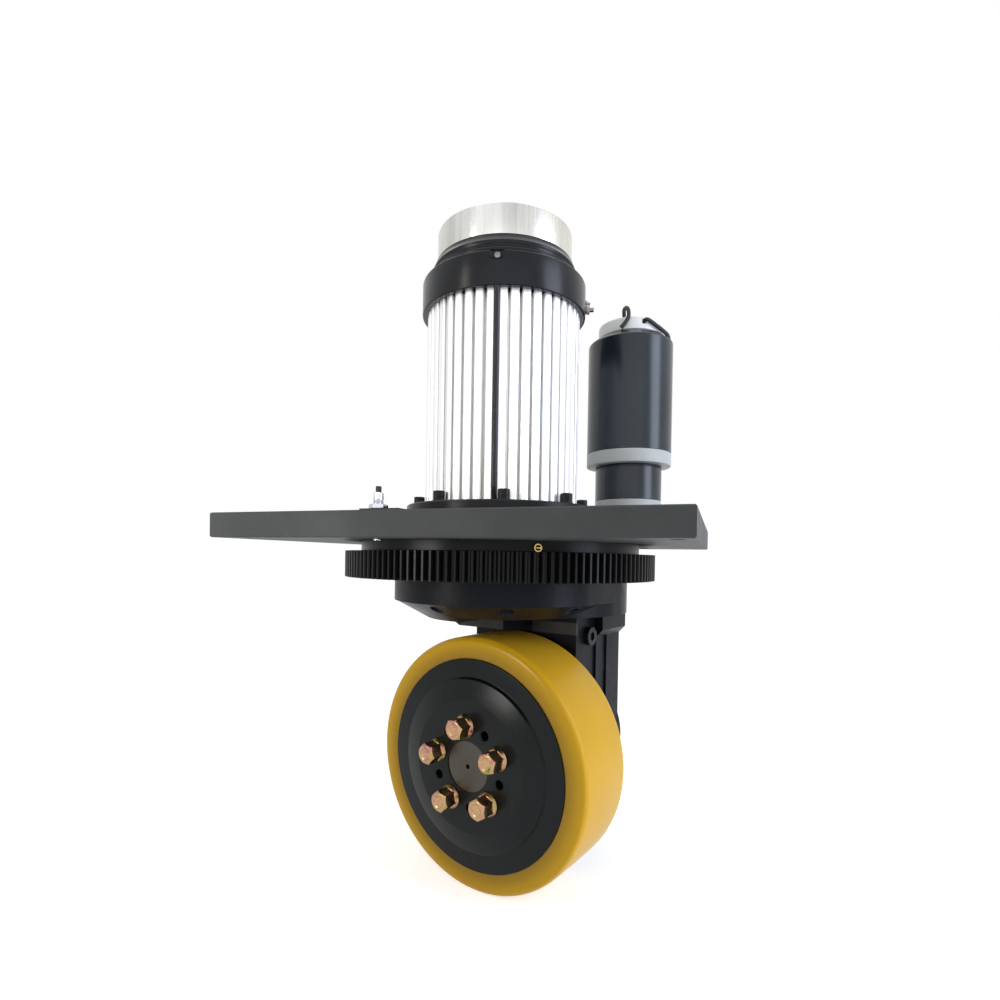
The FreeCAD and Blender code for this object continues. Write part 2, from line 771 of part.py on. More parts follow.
def slewing_ring():
    """The fixed ring, its balls and screws, the toothed ring that turns and its seal."""
    inner = "(race_radius - race_gap)"
    body = turned_body(
        "slewing_fixed_ring",
        [
            ("shaft_bore_radius", RING_TOP),
            ("ring_flange_radius", RING_TOP),
            ("ring_flange_radius", RING_LOW),
            (inner, RING_LOW),
            (inner, f"{RING_LOW} - ring_boss_deep"),
            ("shaft_bore_radius", f"{RING_LOW} - ring_boss_deep"),
        ],
    )
    race_groove(body, "race_radius", BALL_LEVEL, "ball_radius + running_fit")
    ring_circle = circle_of("ring_screw_circle", int(size("ring_screw_count")), "ring_screw_angle")
    round_holes(body, "threads", ring_circle, "screw_radius + fit_gap", RING_TOP, "ring_thread_deep")
    keep(body, "slewing_fixed_ring")

    ball_at = around(size("race_radius"), int(size("ball_count")), 0, size(BALL_LEVEL))
    solid("slewing_balls", placed(Part.makeSphere(size("ball_radius")), ball_at))
    screw = stout_screw(size("plate_thick - screw_sink + ring_thread_deep - thread_room"))
    count = int(size("ring_screw_count"))
    seats = around(size("ring_screw_circle"), count, size("ring_screw_angle"), -size("screw_sink"))
    solid("ring_screws", placed(screw, seats))

    angle = math.radians(size("nipple_angle"))
    level = size(f"{RING_TOP} - nipple_drop")
    radius = size("nipple_radius")
    outward = polar(1, angle)
    start = outward * size("ring_flange_radius + fit_gap") + Vector(0, 0, level)
    reach = size("nipple_reach")
    nipple = Part.makeCylinder(radius, reach * 0.5, start, outward)
    tip = Part.makeSphere(radius * 0.7, start + outward * reach * 0.62)
    solid("grease_nipple", nipple.fuse(tip))

    module = size("steer_module")
    phase = DRIVE_ANGLE + math.radians(size("wheel_heading"))
    face = gear_face(int(size("ring_teeth")), module, phase, backlash=size("steer_backlash"))
    ring = gear_blank(face, size(GEAR_LOW), size(GEAR_TOP))
    outer_race = size("race_radius + race_gap")
    groove = size("ball_radius + running_fit")
    thread = size("screw_radius + fit_gap")
    tools = [
        Part.makeCylinder(outer_race, THROUGH, Vector(0, 0, size(WEB_TOP))),
        Part.makeCylinder(size("shaft_bore_radius"), THROUGH, Vector(0, 0, size(GEAR_LOW))),
        Part.makeTorus(size("race_radius"), groove, Vector(0, 0, size(BALL_LEVEL))),
        tube(
            size("seal_radius + seal_width / 2 + fit_gap"),
            size("seal_radius - seal_width / 2 - fit_gap"),
            size(f"{GEAR_TOP} - seal_deep"),
            size(GEAR_TOP),
        ),
    ]
    tools += [
        Part.makeCylinder(thread, size("gear_thread_deep"), Vector(x, y, size(GEAR_LOW)))
        for x, y in housing_screw_places()
    ]
    solid("ring_gear", ring.cut(tools), STEERED)
    turned(
        "dust_seal",
        [
            ("seal_radius - seal_width / 2", f"{GEAR_TOP} - seal_deep"),
            ("seal_radius + seal_width / 2", f"{GEAR_TOP} - seal_deep"),
            ("seal_radius + seal_width / 2", f"{GEAR_TOP}"),
            ("seal_radius + seal_lip", f"{GEAR_TOP} + 0.4 * running_gap"),
            ("seal_radius - seal_lip", f"{GEAR_TOP} + 0.4 * running_gap"),
            ("seal_radius - seal_width / 2", f"{GEAR_TOP}"),
        ],
        STEERED,
    )


def housing_screw_places():
    """Where the screws from the housing into the toothed ring stand, clear of the gear cavity."""
    radius = size("housing_screw_circle")
    angles = (-170, -130, -90, -50, -10, 35, 145)
    return [(radius * math.cos(math.radians(a)), radius * math.sin(math.radians(a))) for a in angles]


# Traction motor


def traction_motor():
    """The motor that stands on the plate, from its flange to the encoder cap."""
    body = turned_body(
        "motor_flange",
        [
            ("flange_bore", "0"),
            ("motor_flange_radius", "0"),
            ("motor_flange_radius", "motor_flange_thick - small_edge"),
            ("motor_flange_radius - small_edge", "motor_flange_thick"),
            ("large_bearing_outer + fit_gap", "motor_flange_thick"),
            ("large_bearing_outer + fit_gap", "motor_flange_thick - large_bearing_width"),
            ("flange_bore", "motor_flange_thick - large_bearing_width"),
        ],
    )
    count = int(size("flange_screw_count"))
    centres = circle_of("flange_screw_circle", count, "flange_screw_angle")
    thick = "motor_flange_thick"
    round_holes(body, "screws", centres, "screw_radius + hole_gap", thick, thick)
    keep(body, "motor_flange")

    low = size("motor_flange_thick")
    high = size("fin_top")
    fins = int(size("fin_count"))
    step = 2 * math.pi / fins
    start = math.radians(size("tie_rod_angle")) + step / 2
    root = size("fin_root")
    tip = size("fin_tip")
    half = step * size("fin_share") / 2
    edge = size("fin_edge")
    rounded = [(root, half), (tip - edge, half), (tip - edge * 0.35, half * 0.8), (tip, half * 0.4)]
    points = []
    for k in range(fins):
        middle = start + k * step
        points += [polar(radius, middle - angle) for radius, angle in rounded]
        points += [polar(radius, middle + angle) for radius, angle in reversed(rounded)]
    ribbed = gear_blank(Part.Face(Part.makePolygon(points + points[:1])), low, high)
    frame = ribbed.cut(Part.makeCylinder(size("frame_bore"), high - low, Vector(0, 0, low)))
    solid("motor_frame", frame)

    turned(
        "stator_core",
        [
            ("stator_inner", "core_low"),
            ("frame_bore - fit_gap", "core_low"),
            ("frame_bore - fit_gap", "core_high"),
            ("stator_inner", "core_high"),
        ],
    )
    inner = size("stator_inner + winding_margin")
    outer = size("frame_bore - winding_margin")
    reach = size("winding_reach")
    windings = [
        tube(outer, inner, size("core_low") - reach, size("core_low")),
        tube(outer, inner, size("core_high"), size("core_high") + reach),
    ]
    solid("stator_windings", Part.makeCompound(windings))

    rods = int(size("tie_rod_count"))
    rod = Part.makeCylinder(size("tie_rod_radius"), high - low)
    solid("tie_rods", placed(rod, around(size("tie_rod_circle"), rods, size("tie_rod_angle"), low)))
    stack = size("washer_stack")
    shank = size("screw_radius")
    washers = [
        tube(size("washer_radius"), shank, -stack, -stack / 2),
        tube(size("lock_washer_radius"), shank, -stack / 2, 0),
    ]
    screw = stout_screw(size("flange_thread_deep - thread_room") + stack + low).fuse(washers)
    places = around(size("flange_screw_circle"), count, size("flange_screw_angle"), low + stack)
    solid("flange_screws", placed(screw, places))
    lower = ball_bearing(
        size("large_bearing_bore"),
        size("large_bearing_outer"),
        size("motor_flange_thick - large_bearing_width"),
        size("large_bearing_width"),
    )
    upper = ball_bearing(
        size("small_bearing_bore"),
        size("small_bearing_outer"),
        size(f"{BAND_TOP} - band_web + bell_seat_half - small_bearing_width"),
        size("small_bearing_width"),
    )
    solid("motor_bearings", Part.makeCompound([lower, upper]))

    seat = "(small_bearing_outer + fit_gap)"
    bell_web = f"({BAND_TOP} - band_web)"
    bell = turned_body(
        "end_bell_blank",
        [
            ("band_radius - small_edge", "fin_top"),
            ("band_radius", "fin_top + small_edge"),
            ("band_radius", f"{BAND_TOP} - small_edge"),
            ("band_radius - small_edge", BAND_TOP),
            ("shaft_radius + shaft_gap", BAND_TOP),
            ("shaft_radius + shaft_gap", f"{bell_web} + bell_seat_half"),
            (seat, f"{bell_web} + bell_seat_half"),
            (seat, f"{bell_web} - bell_seat_half"),
            (f"{seat} + bell_seat_wall", f"{bell_web} - bell_seat_half"),
            (f"{seat} + bell_seat_wall", bell_web),
            ("band_radius - band_wall", bell_web),
            ("band_radius - band_wall", "fin_top"),
        ],
    )
    facing = size("tie_rod_angle")
    width = size("band_notch_width")
    deep = size("band_notch_deep")
    corner = Vector(size("band_radius") - deep, -width / 2, 0)
    notch = Part.makeBox(2 * deep, width, size("band_notch_high"), corner)
    floor = Vector(0, 0, size(f"{BAND_TOP} - band_notch_high"))
    notch.Placement = Placement(floor, Rotation(Vector(0, 0, 1), facing))
    notch_tool = doc.addObject("Part::Feature", "end_bell_notch")
    notch_tool.Shape = notch
    keep(cut("end_bell", bell, [notch_tool]), "end_bell")

    level = size(f"{BAND_TOP} - band_notch_high / 2")
    outward = polar(1, math.radians(facing))
    plug = size("notch_plug")
    plug_at = outward * size("band_radius - band_notch_deep + fit_gap") + Vector(0, 0, level)
    studs = [Part.makeCylinder(plug, plug, plug_at, outward)]
    for which in ("upper_stud", "lower_stud"):
        away = polar(1, math.radians(size(which + "_angle")))
        radius = size(which + "_radius")
        reach = size(which + "_reach")
        start_at = away * size("band_radius + fit_gap") + Vector(0, 0, size(f"fin_top + {which}_lift"))
        nut = Part.makeCylinder(radius, reach * 0.55, start_at, away)
        studs.append(nut.fuse(Part.makeCylinder(radius * 0.62, reach, start_at, away)))
    solid("terminal_studs", Part.makeCompound(studs))

    neck = "(brake_radius - brake_wall)"
    bead_a = f"{BAND_TOP} + lower_bead"
    bead_b = f"{BAND_TOP} + upper_bead"
    turned(
        "brake_housing",
        [
            (neck, BAND_TOP),
            ("brake_radius", BAND_TOP),
            ("brake_radius", f"{bead_a} - bead_half"),
            ("brake_radius + bead_proud", bead_a),
            ("brake_radius", f"{bead_a} + bead_half"),
            ("brake_radius", f"{bead_b} - bead_half"),
            ("brake_radius + bead_proud", bead_b),
            ("brake_top_radius", f"{bead_b} + bead_half"),
            ("brake_top_radius", BRAKE_TOP),
            (neck, BRAKE_TOP),
        ],
    )
    turned(
        "brake_magnet",
        [
            ("shaft_radius + shaft_gap", BAND_TOP),
            ("brake_disc_radius + brake_magnet_margin", BAND_TOP),
            ("brake_disc_radius + brake_magnet_margin", f"{BAND_TOP} + brake_magnet_high"),
            ("shaft_radius + shaft_gap", f"{BAND_TOP} + brake_magnet_high"),
        ],
    )
    cap_top = f"({BRAKE_TOP} + cap_high)"
    turned(
        "encoder_cap",
        [
            ("cap_radius - cap_wall", BRAKE_TOP),
            ("cap_radius", BRAKE_TOP),
            ("cap_radius", f"{cap_top} - cap_chamfer"),
            ("cap_radius - cap_chamfer", cap_top),
            ("0", cap_top),
            ("0", f"{cap_top} - cap_wall"),
            ("cap_radius - cap_wall", f"{cap_top} - cap_wall"),
        ],
    )


def motor_rotor():
    """The shaft with its pinion, the rotor core and the brake disc."""
    module = size("spur_module")
    teeth = int(size("motor_pinion_teeth"))
    # a tooth of the motor pinion points along +y of the leg, at the countershaft
    phase = math.pi / 2
    face = gear_face(teeth, module, phase, backlash=size("spur_backlash"))
    top = size(SPUR_TOP)
    low = top - size("spur_face + pinion_overhang")
    neck = size("pinion_neck")
    pinion = gear_blank(face, low, top)
    run = size("running_fit")
    flange = size("motor_flange_thick")
    large = size("large_bearing_bore") - run
    small = size("small_bearing_bore") - run
    radius = size("shaft_radius")
    gap = size("shaft_gap")
    seat = size(f"{BAND_TOP} - band_web - bell_seat_half") - gap
    shaft = disc_stack(
        [
            (0, low),
            (neck, low),
            (neck, top),
            (radius, top),
            (radius, 0),
            (large, 0),
            (large, flange + gap),
            (radius, flange + gap),
            (radius, seat),
            (small, seat),
            (small, size("shaft_top")),
            (0, size("shaft_top")),
        ]
    )
    solid("rotor_shaft", shaft.fuse(pinion), STEERED)
    fit = size("fit_gap")
    core = tube(size("stator_inner - running_gap"), radius + fit, size("core_low"), size("core_high"))
    solid("rotor_core", core, STEERED)
    brake_low = size(f"{BAND_TOP} + brake_magnet_high + running_gap")
    disc = tube(size("brake_disc_radius"), small + fit, brake_low, brake_low + size("brake_disc_thick"))
    solid("brake_disc", disc, STEERED)


# Steering drive


def steering_drive():
    """The steering motor on its planetary reducer, with the pinion below the plate."""
    output = "(output_bearing_outer + fit_gap)"
    base = turned_body(
        "reducer_base",
        [
            ("output_bore", "0"),
            ("reducer_radius", "0"),
            ("reducer_radius", "reducer_base_high"),
            (output, "reducer_base_high"),
            (output, "seat_floor"),
            ("output_bore", "seat_floor"),
        ],
    )
    centres = circle_of("reducer_screw_circle", 4, "45")
    deep = "reducer_thread_deep"
    round_holes(base, "threads", centres, "fine_screw_radius + fit_gap", deep, deep)
    keep(base, "reducer_base", DRIVE)
    turned(
        "reducer_shell",
        [
            ("reducer_bore + fit_gap", "reducer_base_high"),
            ("reducer_radius", "reducer_base_high"),
            ("reducer_radius", REDUCER_TOP),
            ("reducer_bore + fit_gap", REDUCER_TOP),
        ],
        DRIVE,
    )
    bearing_seat = "(armature_bearing_outer + fit_gap)"
    turned(
        "adapter_ring",
        [
            ("adapter_bore", REDUCER_TOP),
            ("steer_motor_radius", REDUCER_TOP),
            ("steer_motor_radius", ADAPTER_TOP),
            (bearing_seat, ADAPTER_TOP),
            (bearing_seat, f"{REDUCER_TOP} + seat_floor"),
            ("adapter_bore", f"{REDUCER_TOP} + seat_floor"),
        ],
        DRIVE,
    )
    inner = "(steer_motor_radius - steer_motor_wall)"
    web = f"({SHOULDER_TOP} - shoulder_web)"
    turned(
        "steering_motor_shell",
        [
            (inner, ADAPTER_TOP),
            ("steer_motor_radius", ADAPTER_TOP),
            ("steer_motor_radius", SHELL_TOP),
            ("brush_cap_radius + small_edge / 2", SHOULDER_TOP),
            ("end_shield_bore", SHOULDER_TOP),
            ("end_shield_bore", web),
            (bearing_seat, web),
            (bearing_seat, f"{web} - armature_bearing_width"),
            (f"{bearing_seat} + end_seat_wall", f"{web} - armature_bearing_width"),
            (f"{bearing_seat} + end_seat_wall", web),
            ("brush_cap_radius - brush_cap_wall", web),
            (inner, f"{SHELL_TOP} - brush_cap_wall"),
        ],
        DRIVE,
    )
    magnets = []
    outer = size(inner) - size("fit_gap")
    core_low = size(f"{ADAPTER_TOP} + magnet_lift")
    long = size("magnet_long")
    foot = Vector(0, 0, core_low)
    for k in range(4):
        arc = Part.makeCylinder(outer, long, foot, Vector(0, 0, 1), size("magnet_span"))
        arc = arc.cut(Part.makeCylinder(size("magnet_inner"), long, foot))
        arc.Placement = Placement(Vector(), Rotation(Vector(0, 0, 1), 90 * k)).multiply(arc.Placement)
        magnets.append(arc)
    solid("field_magnets", Part.makeCompound(magnets), DRIVE)

    cap_top = f"({SHOULDER_TOP} + brush_cap_high)"
    turned(
        "brush_cap",
        [
            ("brush_cap_radius - brush_cap_wall", SHOULDER_TOP),
            ("brush_cap_radius", SHOULDER_TOP),
            ("brush_cap_radius", f"{cap_top} - brush_cap_edge"),
            ("brush_cap_radius - brush_cap_edge", cap_top),
            ("0", cap_top),
            ("0", f"{cap_top} - brush_cap_wall"),
            ("brush_cap_radius - brush_cap_wall", f"{cap_top} - brush_cap_wall"),
        ],
        DRIVE,
    )
    solid("motor_leads", Part.makeCompound([lead(angle) for angle in (-95, -50)]), DRIVE)

    screw = fine_screw(size("plate_thick - fine_sink + reducer_thread_deep - 2 * thread_room"))
    seats = around(size("reducer_screw_circle"), 4, 45, size("fine_sink - plate_thick"), True)
    solid("reducer_screws", placed(screw, seats), DRIVE)
    bearings = [
        ball_bearing(
            size("output_bearing_bore"),
            size("output_bearing_outer"),
            size("seat_floor"),
            size("output_bearing_width"),
        ),
        armature_bearing(size(f"{REDUCER_TOP} + seat_floor")),
        armature_bearing(size(f"{web} - armature_bearing_width")),
    ]
    solid("steering_bearings", Part.makeCompound(bearings), DRIVE)

    module = size("planet_module")
    low = size("planet_low")
    high = low + size("planet_face")
    backlash = size("planet_backlash")
    ring_teeth = int(size("planet_ring_teeth"))
    space = gear_face(ring_teeth, module, 0, backlash=-backlash, addendum=1.2, dedendum=0.9)
    ring = Part.makeCylinder(size("reducer_bore"), high - low, Vector(0, 0, low))
    solid("planet_ring", ring.cut(gear_blank(space, low, high)), DRIVE)

    arm = module * size("sun_teeth + planet_teeth") / 2
    run = size("running_fit")
    pin = size("planet_pin_radius")
    count = int(size("planet_count"))
    gap = size("running_gap")
    shaft = size("output_bearing_bore") - run
    carrier = disc_stack(
        [
            (0, size(f"{GEAR_LOW} - small_edge")),
            (shaft, size(f"{GEAR_LOW} - small_edge")),
            (shaft, size("reducer_base_high + small_edge")),
            (size("reducer_bore - carrier_margin"), size("reducer_base_high + small_edge")),
            (size("reducer_bore - carrier_margin"), low - gap),
            (0, low - gap),
        ]
    )
    pins = [
        Part.makeCylinder(pin, high - low + 3 * gap, polar(arm, 2 * math.pi * k / count, low - gap))
        for k in range(count)
    ]
    solid("planet_carrier", carrier.fuse(pins), DRIVE)

    planet_teeth = int(size("planet_teeth"))
    for k in range(count):
        angle = 2 * math.pi * k / count
        phase = angle + math.pi + math.pi / planet_teeth
        face = gear_face(planet_teeth, module, phase, backlash=backlash, addendum=0.9)
        gear = gear_blank(face, low, high).cut(Part.makeCylinder(pin + run, high - low, Vector(0, 0, low)))
        gear.translate(polar(arm, angle))
        solid(f"planet_gear_{k + 1}", gear, DRIVE)

    sun_face = gear_face(int(size("sun_teeth")), module, 0, backlash=backlash, addendum=0.9)
    sun = gear_blank(sun_face, low, high + size("shaft_gap"))
    journal = size("armature_bearing_bore") - run
    neck = size("armature_neck")
    step = size(REDUCER_TOP)
    end = size(f"{SHOULDER_TOP} - armature_end_gap")
    armature = disc_stack([(0, low), (neck, low), (neck, step), (journal, step), (journal, end), (0, end)])
    solid("armature_shaft", armature.fuse(sun), DRIVE)
    core = tube(size("armature_radius"), journal + size("fit_gap"), core_low, core_low + long)
    solid("armature_core", core, DRIVE)

    teeth = int(size("steer_pinion_teeth"))
    phase = DRIVE_ANGLE + math.pi + math.pi / teeth
    face = gear_face(teeth, size("steer_module"), phase, backlash=size("steer_backlash"))
    pinion = gear_blank(face, size(f"{GEAR_LOW} + running_gap"), size(f"{GEAR_TOP} - small_edge"))
    bore = Part.makeCylinder(shaft + size("fit_gap"), THROUGH, Vector(0, 0, size(GEAR_LOW)))
    solid("steering_pinion", pinion.cut(bore), DRIVE)


def armature_bearing(low):
    """One of the two bearings of the steering motor's shaft."""
    return ball_bearing(
        size("armature_bearing_bore"), size("armature_bearing_outer"), low, size("armature_bearing_width")
    )


def lead(angle):
    """A short motor lead that leaves the top of the cap and goes down over its rim to the shoulder."""
    radius = size("lead_radius")
    top = size(f"{SHOULDER_TOP} + brush_cap_high")
    shoulder = size(SHOULDER_TOP)
    rim = size("brush_cap_radius")
    outward = polar(1, math.radians(angle))

    def at(reach, level):
        return outward * reach + Vector(0, 0, level)

    inset = size("lead_inset")
    start = at(rim - inset, top + size("running_gap"))
    crest = at(rim + (1.6 * radius - inset) / 2, top + size("lead_crest"))
    over = Part.Arc(start, crest, at(rim + 1.6 * radius, shoulder + radius))
    ring = Part.Wire([Part.makeCircle(radius, start, over.tangent(over.FirstParameter)[0])])
    return Part.Wire([over.toShape()]).makePipeShell([ring], True, False)


# Homing sensor


def homing_sensor():
    """The sensor that looks down on the toothed ring, on its raised bracket."""
    across = size("sensor_across")
    forward = size("sensor_forward")
    centre = Vector(across, forward, 0)
    radius = size("sensor_radius")
    thick = size("bracket_thick")
    top = size("sensor_high")
    deep = size("bracket_deep")
    corner = Vector(across - size("bracket_end"), forward - deep / 2, 0)
    bracket = Part.makeBox(size("bracket_long"), deep, thick, corner)
    bracket = bracket.cut(Part.makeCylinder(radius + size("fit_gap"), thick, centre))
    solid("sensor_bracket", bracket)
    low = -size("plate_thick + thread_room")
    collar_high = size("sensor_collar")
    thread = Part.makeCylinder(radius, top - collar_high - low, centre + Vector(0, 0, low))
    collar = Part.makeCylinder(radius * 0.9, collar_high, centre + Vector(0, 0, top - collar_high))
    tail = Part.makeCone(radius * 0.62, radius * 0.45, size("sensor_tail"), centre + Vector(0, 0, top))
    solid("home_sensor", thread.fuse([collar, tail]))
    nut = hex_prism(size("sensor_nut_flats"), thick, thick + size("sensor_nut_high"))
    nut = nut.cut(Part.makeCylinder(radius + size("fit_gap"), THROUGH))
    nut.translate(centre)
    solid("sensor_nuts", nut)


# Gearbox leg


def flange_prism():
    """The housing's top flange: two round ends joined by their tangents."""
    front = size("housing_radius")
    back = size("housing_back_radius")
    far = size("housing_back_centre")
    lean = math.asin((front - back) / far)
    low = size(HOUSING_LOW)
    a = Vector(front * math.cos(lean), front * math.sin(lean), low)
    b = Vector(back * math.cos(lean), far + back * math.sin(lean), low)
    mirrored = Vector(-a.x, a.y, low)
    far_mirrored = Vector(-b.x, b.y, low)
    edges = [
        Part.makeLine(a, b),
        Part.Arc(b, Vector(0, far + back, low), far_mirrored).toShape(),
        Part.makeLine(far_mirrored, mirrored),
        Part.Arc(mirrored, Vector(0, -front, low), a).toShape(),
    ]
    return Part.Face(Part.Wire(edges)).extrude(Vector(0, 0, size(GEAR_LOW) - low))


def leg_shape(name, half_width, low_y, high_y, radius, top):
    """A slice of the leg: a box down to the axle with a round end about it."""
    centre = ("0", "wheel_centre")
    return [
        box(name + "_box", ("-" + half_width, low_y, "wheel_centre"), (half_width, high_y, top)),
        cylinder(name + "_end", radius, low_y, high_y, centre, "y"),
    ]


def shoulder(name, front, back, high):
    """The broad head of the leg under the housing, with chamfered lower corners."""
    half = size("shoulder_half_width")
    rim = size("leg_rim_width")
    low = size("shoulder_low")
    top = size(high)
    start = size(front)
    foot = low - half + rim
    outline = [(-rim, foot), (-half, low), (-half, top), (half, top), (half, low), (rim, foot)]
    points = [Vector(x, start, z) for x, z in outline]
    item = doc.addObject("Part::Feature", name)
    item.Shape = Part.Face(Part.makePolygon(points + points[:1])).extrude(Vector(0, size(back) - start, 0))
    return item


def gearbox_leg():
    """The housing that turns under the toothed ring, its rear cover, screws, bearings and seal."""
    flange = doc.addObject("Part::Feature", "housing_flange")
    flange.Shape = flange_prism()
    taper = doc.addObject("Part::Cone", "housing_taper")
    tie(taper, "Radius1", "taper_foot")
    tie(taper, "Radius2", "housing_radius - small_edge")
    tie(taper, "Height", f"{HOUSING_LOW} - neck_bottom")
    tie(taper, "Placement.Base.z", "neck_bottom")
    centre = ("0", "wheel_centre")
    sump_at = ("0", "housing_back_centre")
    rib_front = "leg_back - leg_rim_thick - leg_rib_back"
    rib_end = "leg_back - leg_rib_back"
    solids = [flange, taper, cylinder("sump", "housing_back_radius", "sump_low", HOUSING_LOW, sump_at)]
    solids += leg_shape("leg", "leg_half_width", "leg_front", "leg_back", "leg_end_radius", HOUSING_LOW)
    solids += [
        box(
            "leg_rim",
            ("-leg_rim_width", "leg_back - leg_rim_thick", "wheel_centre"),
            ("leg_rim_width", "leg_back", "sump_low"),
        ),
        box("leg_rib", ("-leg_rim_width", rib_front, "wheel_centre"), ("leg_rim_width", rib_end, "sump_low")),
        box(
            "neck_block",
            ("-leg_half_width", "neck_front", "neck_bottom"),
            ("leg_half_width", "leg_front", HOUSING_LOW),
        ),
        shoulder("leg_shoulder", rib_front, "leg_back", "sump_low"),
    ]
    solids.append(cylinder("axle_boss", "boss_radius", "boss_front", "leg_front", centre, "y"))
    whole = fused("housing_blank", solids)

    counter = ("0", COUNTER_BACK)
    bearing = "small_bearing_outer + fit_gap"
    upper_low = f"({CAVITY_LOW} - small_bearing_width)"
    lower_low = f"({LOWER_BEARING_TOP} - small_bearing_width)"
    tools = [
        cylinder(
            "spur_room",
            "spur_module * (spur_teeth / 2 + 1) + spur_tip_gap",
            CAVITY_LOW,
            GEAR_LOW,
            counter,
        ),
        cylinder(
            "motor_pinion_room",
            "spur_module * (motor_pinion_teeth / 2 + 1) + spur_tip_gap",
            CAVITY_LOW,
            GEAR_LOW,
        ),
        box(
            "bowl_facet",
            ("-housing_radius", "-housing_radius", "neck_bottom - small_edge"),
            ("housing_radius", "bowl_front", "bowl_facet_high"),
        ),
        box(
            "leg_facet",
            ("leg_facet_across", "-housing_radius", "neck_bottom - small_edge"),
            ("housing_radius", "leg_front", "sump_low"),
        ),
        cylinder("upper_seat", bearing, upper_low, CAVITY_LOW, counter),
        cylinder("counter_bore", "small_bearing_outer - bore_step", LOWER_BEARING_TOP, upper_low, counter),
        cylinder("lower_seat", bearing, lower_low, LOWER_BEARING_TOP, counter),
        cylinder("pinion_room", "small_bearing_outer - small_edge", "wheel_centre", lower_low, counter),
        cylinder("bevel_room", "bevel_cavity_radius", "leg_front + bevel_wall", "leg_back", centre, "y"),
        cylinder("axle_bore", "axle_seal_radius + shaft_gap", "boss_front", "leg_back", centre, "y"),
        cylinder(
            "axle_seat",
            "leg_bearing_outer + fit_gap",
            "boss_front",
            "boss_front + axle_seal_thick + leg_bearing_width",
            centre,
            "y",
        ),
    ]
    rough = cut("gear_housing_rough", whole, tools)
    doc.recompute()
    drills = []
    top = size(GEAR_LOW)
    seat = size(f"{HOUSING_LOW} + screw_sink")
    head_room = size("screw_head_radius + head_gap")
    for x, y in housing_screw_places():
        drills.append(Part.makeCylinder(size("screw_radius + hole_gap"), top - seat, Vector(x, y, seat)))
        drills.append(Part.makeCylinder(head_room, THROUGH, Vector(x, y, seat - THROUGH)))
    back = size("leg_back")
    deep = size("cover_thread_deep")
    backward = Vector(0, 1, 0)
    for x, z in cover_screw_places():
        start = Vector(x, back - deep, z)
        drills.append(Part.makeCylinder(size("fine_screw_radius + fit_gap"), deep, start, backward))
    sideways = Vector(1, 0, 0)
    inside = size("plug_seat")
    plug_at = Vector(size("leg_half_width") - inside, size("plug_back"), size("plug_level"))
    hole = size("plug_radius + fit_gap")
    drills.append(Part.makeCylinder(hole, size("plug_hole_deep"), plug_at, sideways))
    solid("gear_housing", rough.Shape.cut(drills), STEERED)

    gap = size("fit_gap")
    high = size("plug_head_high")
    plug = Part.makeCylinder(size("plug_head_radius"), high, plug_at + sideways * (inside + gap), sideways)
    plug = plug.fuse(Part.makeCylinder(size("plug_radius"), inside, plug_at + sideways, sideways))
    key = hex_prism(size("plug_key"), 0, high)
    key.Placement = Placement(plug_at + sideways * (inside + high / 2), Rotation(Vector(0, 1, 0), 90))
    solid("oil_plug", plug.cut(key), STEERED)

    under = "sump_low - fit_gap"
    cover = leg_shape("cover", "leg_rim_width", "leg_back", "cover_back", "leg_end_radius", under)
    blank = fused("cover_blank", cover + [shoulder("cover_shoulder", "leg_back", "cover_back", under)])
    room = [
        cylinder(
            "end_seat",
            "end_bearing_outer + fit_gap",
            "leg_back",
            "cover_back - seat_floor",
            centre,
            "y",
        ),
        box(
            "cover_room",
            ("-leg_half_width + cover_wall", "leg_back", "wheel_centre + cover_room_low"),
            ("leg_half_width - cover_wall", "cover_back - cover_floor", "neck_bottom - cover_wall"),
        ),
    ]
    hollow = cut("cover_rough", blank, room)
    doc.recompute()
    far = size("cover_back")
    sink = size("fine_sink")
    drills = []
    shank = size("fine_screw_radius + hole_gap")
    for x, z in cover_screw_places():
        start = Vector(x, far - sink, z)
        drills.append(Part.makeCylinder(shank, far - back, Vector(x, back, z), backward))
        drills.append(Part.makeCylinder(size("fine_head_radius + head_gap"), sink, start, backward))
    solid("rear_cover", hollow.Shape.cut(drills), STEERED)
    screw = fine_screw(far - sink - back + deep - size("thread_room"))
    turn = Rotation(Vector(1, 0, 0), -90)
    seats = [Placement(Vector(x, far - sink, z), turn) for x, z in cover_screw_places()]
    solid("rear_cover_screws", placed(screw, seats), STEERED)
    long_screw = stout_screw(top - seat + size("gear_thread_deep - thread_room"))
    below = Rotation(Vector(1, 0, 0), 180)
    seats = [Placement(Vector(x, y, seat), below) for x, y in housing_screw_places()]
    solid("housing_screws", placed(long_screw, seats), STEERED)

    bore = size("small_bearing_bore")
    outer = size("small_bearing_outer")
    width = size("small_bearing_width")
    pair = [ball_bearing(bore, outer, size(level), width) for level in (upper_low, lower_low)]
    solid("countershaft_bearings", Part.makeCompound(pair), COUNTER)
    # the axle's frame looks outwards, so a place behind the wheel is a negative height in it
    near = -size("boss_front + axle_seal_thick + leg_bearing_width")
    end = -size("cover_back - seat_floor")
    pair = [
        ball_bearing(size("leg_bearing_bore"), size("leg_bearing_outer"), near, size("leg_bearing_width")),
        ball_bearing(size("end_bearing_bore"), size("end_bearing_outer"), end, size("end_bearing_width")),
    ]
    solid("axle_bearings", Part.makeCompound(pair), AXLE)
    lip = size("axle_seal_radius + running_fit")
    seal = tube(size("leg_bearing_outer"), lip, near + size("leg_bearing_width"), -size("boss_front"))
    solid("axle_seal", seal, AXLE)


